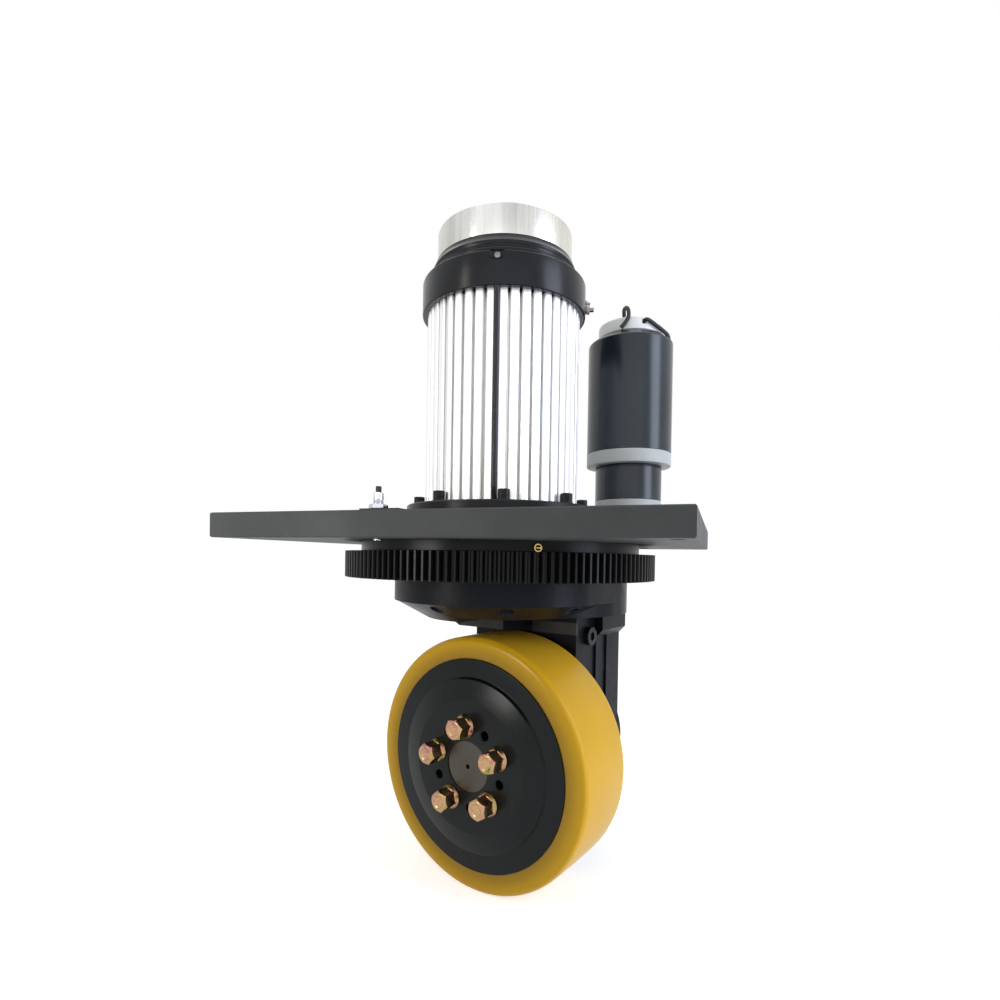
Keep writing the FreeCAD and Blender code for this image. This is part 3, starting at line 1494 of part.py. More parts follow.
def cover_screw_places():
    """Where the screws of the rear cover stand: beside the leg and around its round end."""
    side = size("leg_half_width - cover_screw_inset")
    centre = size("wheel_centre")
    levels = (centre + size("cover_screw_low"), centre + size("cover_screw_high"))
    places = [(sign * side, level) for sign in (-1, 1) for level in levels]
    radius = (size("leg_end_radius") + size("bevel_cavity_radius")) / 2
    for angle in (-150, -110, -70, -30):
        turn = math.radians(angle)
        places.append((radius * math.cos(turn), centre + radius * math.sin(turn)))
    return places


# Countershaft


def countershaft():
    """The upright shaft with the spur gear at its top and the bevel pinion at its foot."""
    module = size("spur_module")
    teeth = int(size("spur_teeth"))
    phase = -math.pi / 2 + math.pi / teeth
    face = gear_face(teeth, module, phase, backlash=size("spur_backlash"))
    top = size(SPUR_TOP)
    low = top - size("spur_face")
    small = size("small_bearing_bore") - size("running_fit")
    gear = gear_blank(face, low, top)
    gap = size("running_fit")
    foot = size(CAVITY_LOW) + gap
    hub = Part.makeCylinder(size("spur_hub_radius"), low - foot, Vector(0, 0, foot))
    bore = Part.makeCylinder(small + size("fit_gap"), THROUGH, Vector(0, 0, foot - gap))
    solid("spur_gear", gear.fuse(hub).cut(bore), COUNTER)

    apex = size("wheel_centre")
    teeth = int(size("bevel_pinion_teeth"))
    mate = int(size("crown_teeth"))
    module = size("bevel_module")
    shift = size("bevel_shift")
    cone = math.atan2(teeth, mate)
    length = size(PINION_PITCH) / math.sin(cone)
    toe = 1 - size("bevel_face") / length
    tooth = {"shift": shift, "addendum": 1.0, "dedendum": 1.2, "backlash": size("bevel_backlash")}
    cloud = bevel_teeth(teeth, mate, module, math.pi / 2, **tooth)
    tip_radius = size(PINION_PITCH) + (1.0 + shift) * module * math.cos(cone)
    tip_level = size(CROWN_PITCH) - (1.0 + shift) * module * math.sin(cone)
    root_radius = size(PINION_PITCH) - (1.2 - shift) * module * math.cos(cone)
    root_level = size(CROWN_PITCH) + (1.2 - shift) * module * math.sin(cone)
    neck = root_radius - size("small_edge")
    blank = disc_stack(
        [
            (0, tip_level * toe),
            (tip_radius * toe, tip_level * toe),
            (tip_radius, tip_level),
            (root_radius, root_level),
            (neck, root_level + module),
            (0, root_level + module),
        ]
    )
    pinion = blank.common(cloud)
    pinion.translate(Vector(0, 0, apex))
    start = apex + root_level + size("small_edge")
    step = size(f"{LOWER_BEARING_TOP} - small_bearing_width") - gap
    shaft = disc_stack([(0, start), (neck, start), (neck, step), (small, step), (small, top), (0, top)])
    solid("bevel_shaft", pinion.fuse(shaft), COUNTER)


# Wheel


def wheel():
    """The tyre, hub, bolts, axle, crown gear and nut, which turn together."""
    half = "wheel_width / 2"
    tyre = turned_body(
        "tyre",
        [
            ("hub_radius + fit_gap", "-" + half),
            ("wheel_radius", "-" + half),
            ("wheel_radius", half),
            ("hub_radius + fit_gap", half),
        ],
    )
    doc.recompute()
    turn = tyre.Tip
    rims = []
    for k, edge in enumerate(turn.Shape.Edges, 1):
        if edge.Curve.TypeId == "Part::GeomCircle" and abs(edge.Curve.Radius - size("wheel_radius")) < 1e-3:
            rims.append(f"Edge{k}")
    fillet = tyre.newObject("PartDesign::Fillet", "tyre_shoulders")
    fillet.Base = (turn, rims)
    tie(fillet, "Radius", "tyre_shoulder")
    keep(tyre, "tyre", AXLE)

    hub = turned_body(
        "wheel_hub",
        [
            ("pilot_radius + fit_gap", "hub_web_back"),
            ("pilot_radius + fit_gap", "hub_face_front"),
            ("hub_face_radius", "hub_face_front"),
            ("hub_slope_radius", "hub_slope_front"),
            ("hub_slope_radius + hub_step", "hub_front"),
            ("hub_radius", "hub_front"),
            ("hub_radius", "-" + half),
            ("hub_radius - hub_rim_wall + hub_rim_edge", "-" + half),
            ("hub_radius - hub_rim_wall", "hub_rim_edge - " + half),
            ("hub_radius - hub_rim_wall", "hub_web_back - hub_web_slope"),
            ("hub_radius - hub_rim_wall - hub_web_slope", "hub_web_back"),
        ],
    )
    count = int(size("wheel_bolt_count"))
    bolts = circle_of("wheel_bolt_circle", count, "wheel_bolt_angle")
    web_thick = "hub_face_front - hub_web_back"
    round_holes(hub, "bolts", bolts, "wheel_bolt_radius + hole_gap", "hub_face_front", web_thick)
    jacks = circle_of("wheel_bolt_circle", count, f"wheel_bolt_angle + {180 / count}")
    round_holes(hub, "jacks", jacks, "jack_radius", "hub_face_front", "jack_deep")
    keep(hub, "wheel_hub", AXLE)

    face = size("hub_face_front")
    radius = size("wheel_bolt_radius")
    flange = size("wheel_bolt_flange")
    flange_disc = Part.makeCone(flange, flange * 0.88, size("wheel_bolt_seat"))
    flats = size("wheel_bolt_flats")
    high = size("wheel_bolt_high")
    dish = size("wheel_bolt_dish")
    head = hex_prism(flats, 0, high)
    dome = disc_stack(
        [
            (0, 0),
            (flange, 0),
            (flange, high - 2 * dish),
            (flats * 0.48, high),
            (flats * 0.34, high),
            (flats * 0.29, high - dish),
            (0, high - dish),
        ]
    )
    reach = face - size("axle_flange_back + thread_room")
    shank = Part.makeCylinder(radius, reach, Vector(0, 0, -reach))
    bolt = head.common(dome).fuse([flange_disc, shank])
    places = around(size("wheel_bolt_circle"), count, size("wheel_bolt_angle"), face)
    solid("wheel_bolts", placed(bolt, places), AXLE)

    run = size("running_fit")
    seal = size("axle_seal_radius")
    near = -size("boss_front + axle_seal_thick")
    leg = size("leg_bearing_bore") - run
    end = size("end_bearing_bore") - run
    gear = size("crown_bore")
    apex_back = size(COUNTER_BACK)
    seat = size("crown_seat")
    crown_front = apex_back + seat
    far = size("cover_back - seat_floor")
    nut_low = apex_back + size("crown_hub_back + hole_gap")
    nut_end = nut_low + size("nut_thread")
    shaft = disc_stack(
        [
            (0, size("pilot_front")),
            (size("pilot_radius"), size("pilot_front")),
            (size("pilot_radius"), size("hub_web_back")),
            (size("axle_flange_radius"), size("hub_web_back")),
            (size("axle_flange_radius"), size("axle_flange_back")),
            (seal, size("axle_flange_back")),
            (seal, near),
            (leg, near),
            (leg, -crown_front),
            (gear, -crown_front),
            (gear, -nut_end),
            (end, -nut_end),
            (end, -far),
            (0, -far),
        ]
    )
    web = size("hub_web_back")
    flange_back = size("axle_flange_back")
    down = Vector(0, 0, flange_back - face)
    threads = [
        Part.makeCylinder(radius + size("fit_gap"), web - flange_back, place.Base + down)
        for place in places
    ]
    mark = size("centre_mark_radius")
    deep = size("centre_mark_deep")
    centre_mark = Part.makeCone(mark / 4, mark, deep, Vector(0, 0, size("pilot_front") - deep))
    solid("axle_shaft", shaft.cut(threads + [centre_mark]), AXLE)

    teeth = int(size("crown_teeth"))
    mate = int(size("bevel_pinion_teeth"))
    module = size("bevel_module")
    shift = -size("bevel_shift")
    cone = math.atan2(teeth, mate)
    pitch = size(CROWN_PITCH)
    level = size(PINION_PITCH)
    length = pitch / math.sin(cone)
    toe = 1 - size("bevel_face") / length
    # the gap between two teeth points up at rest, where the pinion's tooth stands
    phase = math.pi / 2 + math.pi / teeth
    tooth = {"shift": shift, "addendum": 1.0, "dedendum": 1.2, "backlash": size("bevel_backlash")}
    cloud = bevel_teeth(teeth, mate, module, phase, **tooth)
    hub = size("crown_hub_radius")
    hub_back = size("crown_hub_back")
    bore = gear + size("fit_gap")
    tip_radius = pitch + (1.0 + shift) * module * math.cos(cone)
    tip_level = level - (1.0 + shift) * module * math.sin(cone)
    root_radius = pitch - (1.2 - shift) * module * math.cos(cone)
    root_level = level + (1.2 - shift) * module * math.sin(cone)
    blank = disc_stack(
        [
            (bore, seat),
            (root_radius * toe - 1, seat),
            (root_radius * toe, root_level * toe),
            (tip_radius * toe, tip_level * toe),
            (tip_radius, tip_level),
            (root_radius, root_level),
            (root_radius - 1, size("crown_edge")),
            (hub, size("crown_edge + hub_rim_edge")),
            (hub, hub_back),
            (bore, hub_back),
        ]
    )
    crown = blank.common(cloud)
    turn = Placement(Vector(0, 0, -apex_back), Rotation(Vector(0, 1, 0), 180))
    crown.Placement = turn
    solid("crown_gear", crown, AXLE)
    nut = hex_prism(size("nut_flats"), -nut_low - size("nut_high"), -nut_low)
    nut = nut.cut(Part.makeCylinder(bore, THROUGH, Vector(0, 0, -nut_low - THROUGH / 2)))
    solid("axle_nut", nut, AXLE)


mounting_plate()
slewing_ring()
traction_motor()
motor_rotor()
steering_drive()
homing_sensor()
gearbox_leg()
countershaft()
wheel()
doc.recompute()

for item in doc.Objects:
    if "Invalid" in item.State or "Error" in item.State:
        raise RuntimeError(f"{item.Name} did not build: {item.State}")
for item in PARTS:
    if item.Shape.isNull() or not item.Shape.isValid():
        raise RuntimeError(f"{item.Label} has no valid shape")
    if not item.Shape.Solids:
        raise RuntimeError(f"{item.Label} holds no solid")

os.makedirs("parts", exist_ok=True)
for item in PARTS:
    item.Shape.exportStep(f"parts/{item.Label}.step")
    print(item.Label, len(item.Shape.Solids), round(item.Shape.Volume))
print(len(PARTS), "parts")
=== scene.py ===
"""Steerable drive wheel unit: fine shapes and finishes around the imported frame.

Metres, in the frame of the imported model: the steering axis is Z and the top of the plate is at 0.
"""

from __future__ import annotations

import json
import logging
import math
from collections.abc import Callable, Sequence
from dataclasses import dataclass
from enum import Enum, IntEnum
from itertools import pairwise
from typing import Any

import bpy
from mathutils import Matrix, Vector

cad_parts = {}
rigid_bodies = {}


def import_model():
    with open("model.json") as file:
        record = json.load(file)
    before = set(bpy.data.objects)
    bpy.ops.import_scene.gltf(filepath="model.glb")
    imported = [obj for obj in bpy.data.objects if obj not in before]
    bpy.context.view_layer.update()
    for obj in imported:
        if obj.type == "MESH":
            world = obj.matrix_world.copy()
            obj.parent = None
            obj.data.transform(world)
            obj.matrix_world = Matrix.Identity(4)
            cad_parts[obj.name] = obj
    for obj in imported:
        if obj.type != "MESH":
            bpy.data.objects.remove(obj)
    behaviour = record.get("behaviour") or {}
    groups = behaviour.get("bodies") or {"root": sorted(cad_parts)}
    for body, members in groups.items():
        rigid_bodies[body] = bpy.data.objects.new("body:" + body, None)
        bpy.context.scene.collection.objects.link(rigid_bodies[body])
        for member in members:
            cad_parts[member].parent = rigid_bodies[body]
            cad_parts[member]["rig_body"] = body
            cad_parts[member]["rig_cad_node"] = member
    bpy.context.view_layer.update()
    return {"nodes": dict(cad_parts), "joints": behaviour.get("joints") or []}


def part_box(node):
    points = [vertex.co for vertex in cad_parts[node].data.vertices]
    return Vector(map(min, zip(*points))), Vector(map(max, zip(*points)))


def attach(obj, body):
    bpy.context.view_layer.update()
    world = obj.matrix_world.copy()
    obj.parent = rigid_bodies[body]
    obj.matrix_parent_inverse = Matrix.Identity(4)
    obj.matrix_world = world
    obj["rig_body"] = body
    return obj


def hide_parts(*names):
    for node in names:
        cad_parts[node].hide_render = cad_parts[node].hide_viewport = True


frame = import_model()

log = logging.getLogger("drive_unit")

MM = 0.001

# The part of an outline's side that one rounded corner may take, so that two never meet
LONGEST_SHARE = 0.49

# Points nearer than this are one point
WELD = 0.0001 * MM

# A hexagon's distance to its flats for a distance of 1 to its corners
FLAT_TO_CORNER = math.cos(math.pi / 6)

Point = tuple[float, float]
Corner = tuple[float, float, float]
Colour = tuple[float, float, float]
Span = tuple[float, float]
Triple = tuple[float, float, float]
Test = Callable[[Vector, Vector], bool]


class Body(Enum):
    """The moving bodies that new pieces ride on."""

    ROOT = "root"
    STEERED = "steered"
    WHEEL = "wheel"


class Steps(IntEnum):
    """Faces around a turned piece, from thin rods to the wheel."""

    ROD = 24
    SCREW = 32
    SOCKET = 40
    BARREL = 48
    HEAD = 64
    RING = 128
    MOTOR = 160
    WHEEL = 192


class Crease(IntEnum):
    """Angles in degrees from which an edge stays sharp, or is rounded."""

    FINE = 25
    PLAIN = 30
    CAST = 40
    LEAD = 60


# Places


def joint(name: str) -> dict[str, Any]:
    """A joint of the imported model.

    Args:
        name: The joint's name.

    Returns:
        Its row, with its place and axis at rest.
    """
    return next(row for row in frame["joints"] if row["name"] == name)


def middle_of(node: str) -> Vector:
    """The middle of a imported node's box."""
    low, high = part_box(node)
    return (low + high) / 2


def axle_place() -> Matrix:
    """The frame of the axle: z out through the wheel, y up.

    Returns:
        The matrix that takes a piece drawn about its own z axis to the axle.
    """
    spin = joint("wheel_spin")
    out = Vector(spin["axis"]).normalized()
    up = Vector((0, 0, 1))
    across = up.cross(out)
    turn = Matrix((across, up, out)).transposed().to_4x4()
    return Matrix.Translation(Vector(spin["pos_m"])) @ turn


def drive_place() -> Matrix:
    """The frame of the upright steering motor."""
    centre = middle_of("steering_motor_shell")
    return Matrix.Translation(Vector((centre.x, centre.y, 0)))


# Modelling moves


def deselect() -> None:
    """Leave nothing selected."""
    bpy.ops.object.select_all(action="DESELECT")


def only(piece: bpy.types.Object) -> bpy.types.Object:
    """Select one piece and make it the active one."""
    deselect()
    piece.select_set(True)
    bpy.context.view_layer.objects.active = piece
    return piece


def christen(name: str) -> bpy.types.Object:
    """Name the primitive that was just added and apply its place.

    Args:
        name: The piece's name.

    Returns:
        The piece.
    """
    piece = bpy.context.active_object
    piece.name = name
    piece.data.name = name
    bpy.ops.object.transform_apply(location=True, rotation=True, scale=True)
    return piece


def edit(piece: bpy.types.Object, everything: bool = True) -> None:
    """Open a piece in edit mode with everything or nothing selected."""
    only(piece)
    bpy.ops.object.mode_set(mode="EDIT")
    bpy.ops.mesh.select_all(action="SELECT" if everything else "DESELECT")


def close() -> None:
    """Back to object mode."""
    bpy.ops.object.mode_set(mode="OBJECT")


def pick_faces(piece: bpy.types.Object, test: Test) -> None:
    """Select faces by their centre and normal, and stay in edit mode.

    Args:
        piece: The piece.
        test: Says of a centre and a normal whether the face is taken.
    """
    edit(piece, everything=False)
    bpy.ops.mesh.select_mode(type="FACE")
    close()
    for face in piece.data.polygons:
        face.select = test(face.center, face.normal)
    bpy.ops.object.mode_set(mode="EDIT")


def pick_edges(piece: bpy.types.Object, test: Test) -> None:
    """Select edges by their two ends, and stay in edit mode.

    Args:
        piece: The piece.
        test: Says of the two ends whether the edge is taken.
    """
    edit(piece, everything=False)
    bpy.ops.mesh.select_mode(type="EDGE")
    close()
    points = piece.data.vertices
    for edge in piece.data.edges:
        a, b = (points[k].co for k in edge.vertices)
        edge.select = test(a, b)
    bpy.ops.object.mode_set(mode="EDIT")


def modify(piece: bpy.types.Object, kind: str, **settings: Any) -> bpy.types.Object:
    """Add a modifier, set it and apply it.

    Args:
        piece: The piece.
        kind: The modifier's type.
        **settings: Its settings.

    Returns:
        The piece.
    """
    only(piece)
    modifier = piece.modifiers.new(kind.lower(), kind)
    for key, value in settings.items():
        setattr(modifier, key, value)
    bpy.ops.object.modifier_apply(modifier=modifier.name)
    return piece


def soften(
    piece: bpy.types.Object, width: float, segments: int = 3, angle: float = Crease.CAST
) -> bpy.types.Object:
    """Round every edge that is sharper than an angle in degrees."""
    return modify(
        piece,
        "BEVEL",
        width=width,
        segments=segments,
        limit_method="ANGLE",
        angle_limit=math.radians(angle),
        use_clamp_overlap=True,
    )


def smooth(piece: bpy.types.Object, angle: float = Crease.PLAIN) -> bpy.types.Object:
    """Shade a piece smooth, but for edges sharper than an angle in degrees."""
    only(piece)
    bpy.ops.object.shade_smooth_by_angle(angle=math.radians(angle))
    return piece


def boolean(piece: bpy.types.Object, tool: bpy.types.Object, operation: str) -> bpy.types.Object:
    """Cut, join or intersect a piece with a tool, which is used up."""
    modify(piece, "BOOLEAN", object=tool, operation=operation, solver="EXACT")
    bpy.data.objects.remove(tool)
    return piece


def joined(name: str, pieces: Sequence[bpy.types.Object]) -> bpy.types.Object:
    """Make several meshes one piece."""
    deselect()
    for piece in pieces:
        piece.select_set(True)
    bpy.context.view_layer.objects.active = pieces[0]
    bpy.ops.object.join()
    pieces[0].name = name
    pieces[0].data.name = name
    return pieces[0]


def settle(piece: bpy.types.Object, place: Matrix) -> bpy.types.Object:
    """Put a piece in its place and apply it to its mesh."""
    only(piece)
    piece.matrix_world = place
    bpy.ops.object.transform_apply(location=True, rotation=True, scale=True)
    return piece


def copies(name: str, model: bpy.types.Object, places: Sequence[Matrix]) -> bpy.types.Object:
    """Copy a model to several places, each copy with its own mesh, and join them.

    Args:
        name: The joined piece's name.
        model: The piece to copy, which is used up.
        places: Where the copies stand.

    Returns:
        The joined piece.
    """
    made = []
    for place in places:
        only(model)
        bpy.ops.object.duplicate(linked=False)
        made.append(settle(bpy.context.active_object, place))
    bpy.data.objects.remove(model)
    return joined(name, made)


def around(radius: float, count: int, degrees: float, level: float = 0.0) -> list[Matrix]:
    """Places on a pitch circle, each turned to face outwards.

    Args:
        radius: The pitch circle's radius.
        count: How many places.
        degrees: The angle of the first.
        level: Their height.

    Returns:
        One matrix for each place.
    """
    made = []
    for k in range(count):
        turn = Matrix.Rotation(math.radians(degrees + 360 * k / count), 4, "Z")
        made.append(turn @ Matrix.Translation(Vector((radius, 0, level))))
    return made


def filleted(corners: Sequence[Corner], segments: int) -> list[Point]:
    """Round the corners of an outline. A corner on the axis has no fillet.

    Args:
        corners: Radius, height and fillet of each corner.
        segments: Points in each rounded corner.

    Returns:
        The outline's points.
    """
    points: list[Point] = []
    count = len(corners)
    for k, (x, y, fillet) in enumerate(corners):
        here = Vector((x, y))
        if fillet <= 0:
            points.append((x, y))
            continue
        before = Vector(corners[k - 1][:2]) - here
        after = Vector(corners[(k + 1) % count][:2]) - here
        reach = fillet / math.tan(before.angle(after) / 2)
        reach = min(reach, before.length * LONGEST_SHARE, after.length * LONGEST_SHARE)
        start = here + before.normalized() * reach
        end = here + after.normalized() * reach
        for step in range(segments + 1):
            share = step / segments
            bent = start * (1 - share) ** 2 + here * 2 * share * (1 - share) + end * share**2
            points.append((bent.x, bent.y))
    return points


def turned(name: str, outline: Sequence[Point], steps: int = Steps.RING) -> bpy.types.Object:
    """Turn a piece about its own z axis: a circle is extruded from point to point.

    An outline that starts and ends on the axis makes a solid, and any other one makes a ring.

    Args:
        name: The piece's name.
        outline: Radius and height of each point.
        steps: Faces around the axis.

    Returns:
        The piece.
    """
    solid = outline[0][0] == 0
    points = list(outline[1:]) if solid else [*outline, outline[0]]
    radius, level = points[0]
    deselect()
    fill = "TRIFAN" if solid else "NOTHING"
    bpy.ops.mesh.primitive_circle_add(vertices=steps, radius=radius, location=(0, 0, level), fill_type=fill)
    piece = christen(name)
    if solid:
        pick_edges(piece, lambda a, b: min(a.xy.length, b.xy.length) > radius / 2)
    else:
        edit(piece)
    for (r, z), (next_r, next_z) in pairwise(points):
        bpy.ops.mesh.extrude_edges_move(TRANSFORM_OT_translate={"value": (0, 0, next_z - z)})
        if next_r > 0:
            share = next_r / r
            bpy.ops.transform.resize(value=(share, share, 1), center_override=(0, 0, next_z))
        else:
            bpy.ops.mesh.merge(type="CENTER")
    bpy.ops.mesh.select_all(action="SELECT")
    bpy.ops.mesh.remove_doubles(threshold=WELD)
    bpy.ops.mesh.normals_make_consistent(inside=False)
    close()
    return piece


def lathe(
    name: str, corners: Sequence[Corner], segments: int, steps: int = Steps.RING
) -> bpy.types.Object:
    """Turn a piece about its own z axis from an outline with rounded corners.

    Args:
        name: The piece's name.
        corners: Radius, height and fillet of each corner.
        segments: Points in each rounded corner.
        steps: Faces around the axis.

    Returns:
        The piece.
    """
    return turned(name, filleted(corners, segments), steps)


def threaded(start: float, other: float, low: float, pitch: float, count: int) -> list[Point]:
    """The outline of a thread, which swings between two radii.

    Args:
        start: The radius at the lower end of each turn.
        other: The radius at its middle.
        low: The height where the thread starts.
        pitch: The height of a turn.
        count: How many turns.

    Returns:
        The outline's points, from half a turn above the start.
    """
    points: list[Point] = []
    for k in range(count):
        level = low + (k + 0.5) * pitch
        points += [(start, level), (other, level + pitch / 2)]
    return points


def hexagon(name: str, across: float, low: float, high: float) -> bpy.types.Object:
    """An upright hexagonal prism with a distance across its flats."""
    deselect()
    bpy.ops.mesh.primitive_cylinder_add(
        vertices=6,
        radius=across / 2 / FLAT_TO_CORNER,
        depth=high - low,
        location=(0, 0, (high + low) / 2),
    )
    return christen(name)


def block(name: str, low: Sequence[float], high: Sequence[float]) -> bpy.types.Object:
    """A box between two corners."""
    deselect()
    middle = [(a + b) / 2 for a, b in zip(low, high)]
    bpy.ops.mesh.primitive_cube_add(size=1, location=middle)
    bpy.context.active_object.scale = [b - a for a, b in zip(low, high)]
    return christen(name)


def tube(
    name: str, route: Sequence[Vector], radius: float, around_steps: int = 5, along_steps: int = 10
) -> bpy.types.Object:
    """A round lead along a smooth route.

    Args:
        name: The piece's name.
        route: The points that the line runs near.
        radius: The lead's radius.
        around_steps: How finely it is rounded.
        along_steps: How finely it bends between two points of the route.

    Returns:
        The lead as a mesh with closed ends.
    """
    line = bpy.data.curves.new(name, "CURVE")
    line.dimensions = "3D"
    line.bevel_depth = radius
    line.bevel_resolution = around_steps
    line.resolution_u = along_steps
    line.use_fill_caps = True
    spline = line.splines.new("NURBS")
    spline.points.add(len(route) - 1)
    for point, at in zip(spline.points, route):
        point.co = (*at, 1)
    spline.order_u = 3
    spline.use_endpoint_u = True
    piece = bpy.data.objects.new(name, line)
    bpy.context.scene.collection.objects.link(piece)
    only(piece)
    bpy.ops.object.convert(target="MESH")
    return smooth(bpy.context.active_object, Crease.LEAD)


# Shader maths


@dataclass(frozen=True)
class Noise:
    """How fine a noise is, in 1/m, how many octaves it has and how strong the fine ones are."""

    scale: float
    detail: float = 3
    rough: float = 0.5


class Value:
    """A number that varies over a surface. Operators on it add Math nodes."""

    def __init__(self, graph: Graph, socket: bpy.types.NodeSocket) -> None:
        """Wrap a socket of a graph."""
        self.graph = graph
        self.socket = socket

    def __add__(self, other: Value | float) -> Value:
        """Add."""
        return self.graph.maths("ADD", self, other)

    __radd__ = __add__

    def __mul__(self, other: Value | float) -> Value:
        """Multiply."""
        return self.graph.maths("MULTIPLY", self, other)

    __rmul__ = __mul__

    def __sub__(self, other: Value | float) -> Value:
        """Subtract."""
        return self.graph.maths("SUBTRACT", self, other)

    def __rsub__(self, other: float) -> Value:
        """Subtract from a number."""
        return self.graph.maths("SUBTRACT", other, self)

    def between(self, low: float, high: float) -> Value:
        """A share from 0 at low to 1 at high, smoothly."""
        node = self.graph.node(
            "ShaderNodeMapRange",
            {"interpolation_type": "SMOOTHSTEP"},
            {"Value": self, "From Min": low, "From Max": high},
        )
        return Value(self.graph, node.outputs["Result"])

    def swing(self, middle: float, width: float) -> Value:
        """A number that swings about a middle while this one goes from 0 to 1."""
        return (self - 0.5) * width + middle


class Graph:
    """The node tree of one material."""

    def __init__(self, name: str) -> None:
        """Start a material with a Principled shader."""
        self.material = bpy.data.materials.new(name)
        self.material.use_nodes = True
        self.tree = self.material.node_tree
        self.tree.nodes.clear()
        coordinates = self.node("ShaderNodeTexCoord", {}, {})
        self.place = coordinates.outputs["Object"]

    def node(self, kind: str, settings: dict[str, Any], inputs: dict[Any, Any]) -> bpy.types.Node:
        """Add a node.

        Args:
            kind: The node's type.
            settings: Its settings, a ramp's stops among them.
            inputs: Values or links of its sockets.

        Returns:
            The node.
        """
        made = self.tree.nodes.new(kind)
        for key, value in settings.items():
            if key != "stops":
                setattr(made, key, value)
                continue
            stops = made.color_ramp.elements
            while len(stops) < len(value):
                stops.new(1.0)
            for stop, (position, colour) in zip(stops, value):
                stop.position = position
                stop.color = (*colour, 1)
        for key, value in inputs.items():
            if isinstance(value, Value):
                value = value.socket
            if isinstance(value, bpy.types.NodeSocket):
                self.tree.links.new(value, made.inputs[key])
            else:
                made.inputs[key].default_value = value
        return made

    def maths(self, operation: str, *values: Value | float) -> Value:
        """Add a Math node on values and numbers."""
        made = self.node("ShaderNodeMath", {"operation": operation}, dict(enumerate(values)))
        return Value(self, made.outputs[0])

    def vector(self, operation: str, *values: Any) -> bpy.types.Node:
        """Add a Vector Math node."""
        return self.node("ShaderNodeVectorMath", {"operation": operation}, dict(enumerate(values)))

    def noise(self, kind: Noise, place: Any = None) -> Value:
        """Noise over the object, or over another place.

        Args:
            kind: How fine and how rough it is.
            place: A vector socket instead of the object's coordinates.

        Returns:
            The noise, from 0 to 1.
        """
        inputs = {"Scale": kind.scale, "Detail": kind.detail, "Roughness": kind.rough}
        made = self.node("ShaderNodeTexNoise", {}, {"Vector": place or self.place} | inputs)
        return Value(self, made.outputs["Fac"])

    def combined(self, **parts: Value) -> bpy.types.NodeSocket:
        """A vector from the values given for X, Y and Z."""
        return self.node("ShaderNodeCombineXYZ", {}, parts).outputs[0]

    def mix(self, share: Value, first: Any, second: Any) -> bpy.types.NodeSocket:
        """Mix two colours or colour sockets."""
        colours = [(*c, 1) if isinstance(c, tuple) else c for c in (first, second)]
        made = self.node("ShaderNodeMix", {"data_type": "RGBA"}, {0: share, 6: colours[0], 7: colours[1]})
        return made.outputs[2]

    def ramp(self, share: Value, stops: Sequence[tuple[float, Colour]]) -> bpy.types.NodeSocket:
        """A colour ramp over a value."""
        return self.node("ShaderNodeValToRGB", {"stops": stops}, {"Fac": share}).outputs["Color"]

    def bump(self, height: Value, depth: float) -> bpy.types.NodeSocket:
        """A bump of a depth in metres."""
        inputs = {"Height": height, "Distance": depth, "Strength": 1.0}
        return self.node("ShaderNodeBump", {}, inputs).outputs["Normal"]

    def along(self, origin: Vector, axis: Vector) -> tuple[Value, Value, bpy.types.NodeSocket]:
        """Distance along an axis and from it.

        Args:
            origin: A point on the axis.
            axis: Its direction.

        Returns:
            The distance along it, the distance from it, and the offset across it.
        """
        offset = self.vector("SUBTRACT", self.place, tuple(origin)).outputs[0]
        reach = Value(self, self.vector("DOT_PRODUCT", offset, tuple(axis)).outputs["Value"])
        forward = self.node(
            "ShaderNodeVectorMath", {"operation": "SCALE"}, {0: tuple(axis), "Scale": reach}
        ).outputs[0]
        across = self.vector("SUBTRACT", offset, forward).outputs[0]
        radius = Value(self, self.vector("LENGTH", across).outputs["Value"])
        return reach, radius, across

    def finish(self, colour: Any, roughness: Any, **inputs: Any) -> bpy.types.Material:
        """Close the graph with the Principled shader.

        Args:
            colour: The base colour.
            roughness: The roughness.
            **inputs: Other sockets, with underscores for the spaces in their names.

        Returns:
            The material.
        """
        named = {key.replace("_", " "): value for key, value in inputs.items()}
        sockets = {"Base Color": (*colour, 1) if isinstance(colour, tuple) else colour}
        sockets |= {"Roughness": roughness} | named
        shader = self.node("ShaderNodeBsdfPrincipled", {}, sockets)
        self.node("ShaderNodeOutputMaterial", {}, {"Surface": shader.outputs[0]})
        return self.material


class Axis(Enum):
    """Axes that a finish can follow."""

    STEERING = "steering"
    AXLE = "axle"

    def line(self) -> tuple[Vector, Vector]:
        """A point on the axis and its direction."""
        if self is Axis.AXLE:
            spin = joint("wheel_spin")
            return Vector(spin["pos_m"]), Vector(spin["axis"]).normalized()
        return Vector(), Vector((0, 0, 1))


# Finishes


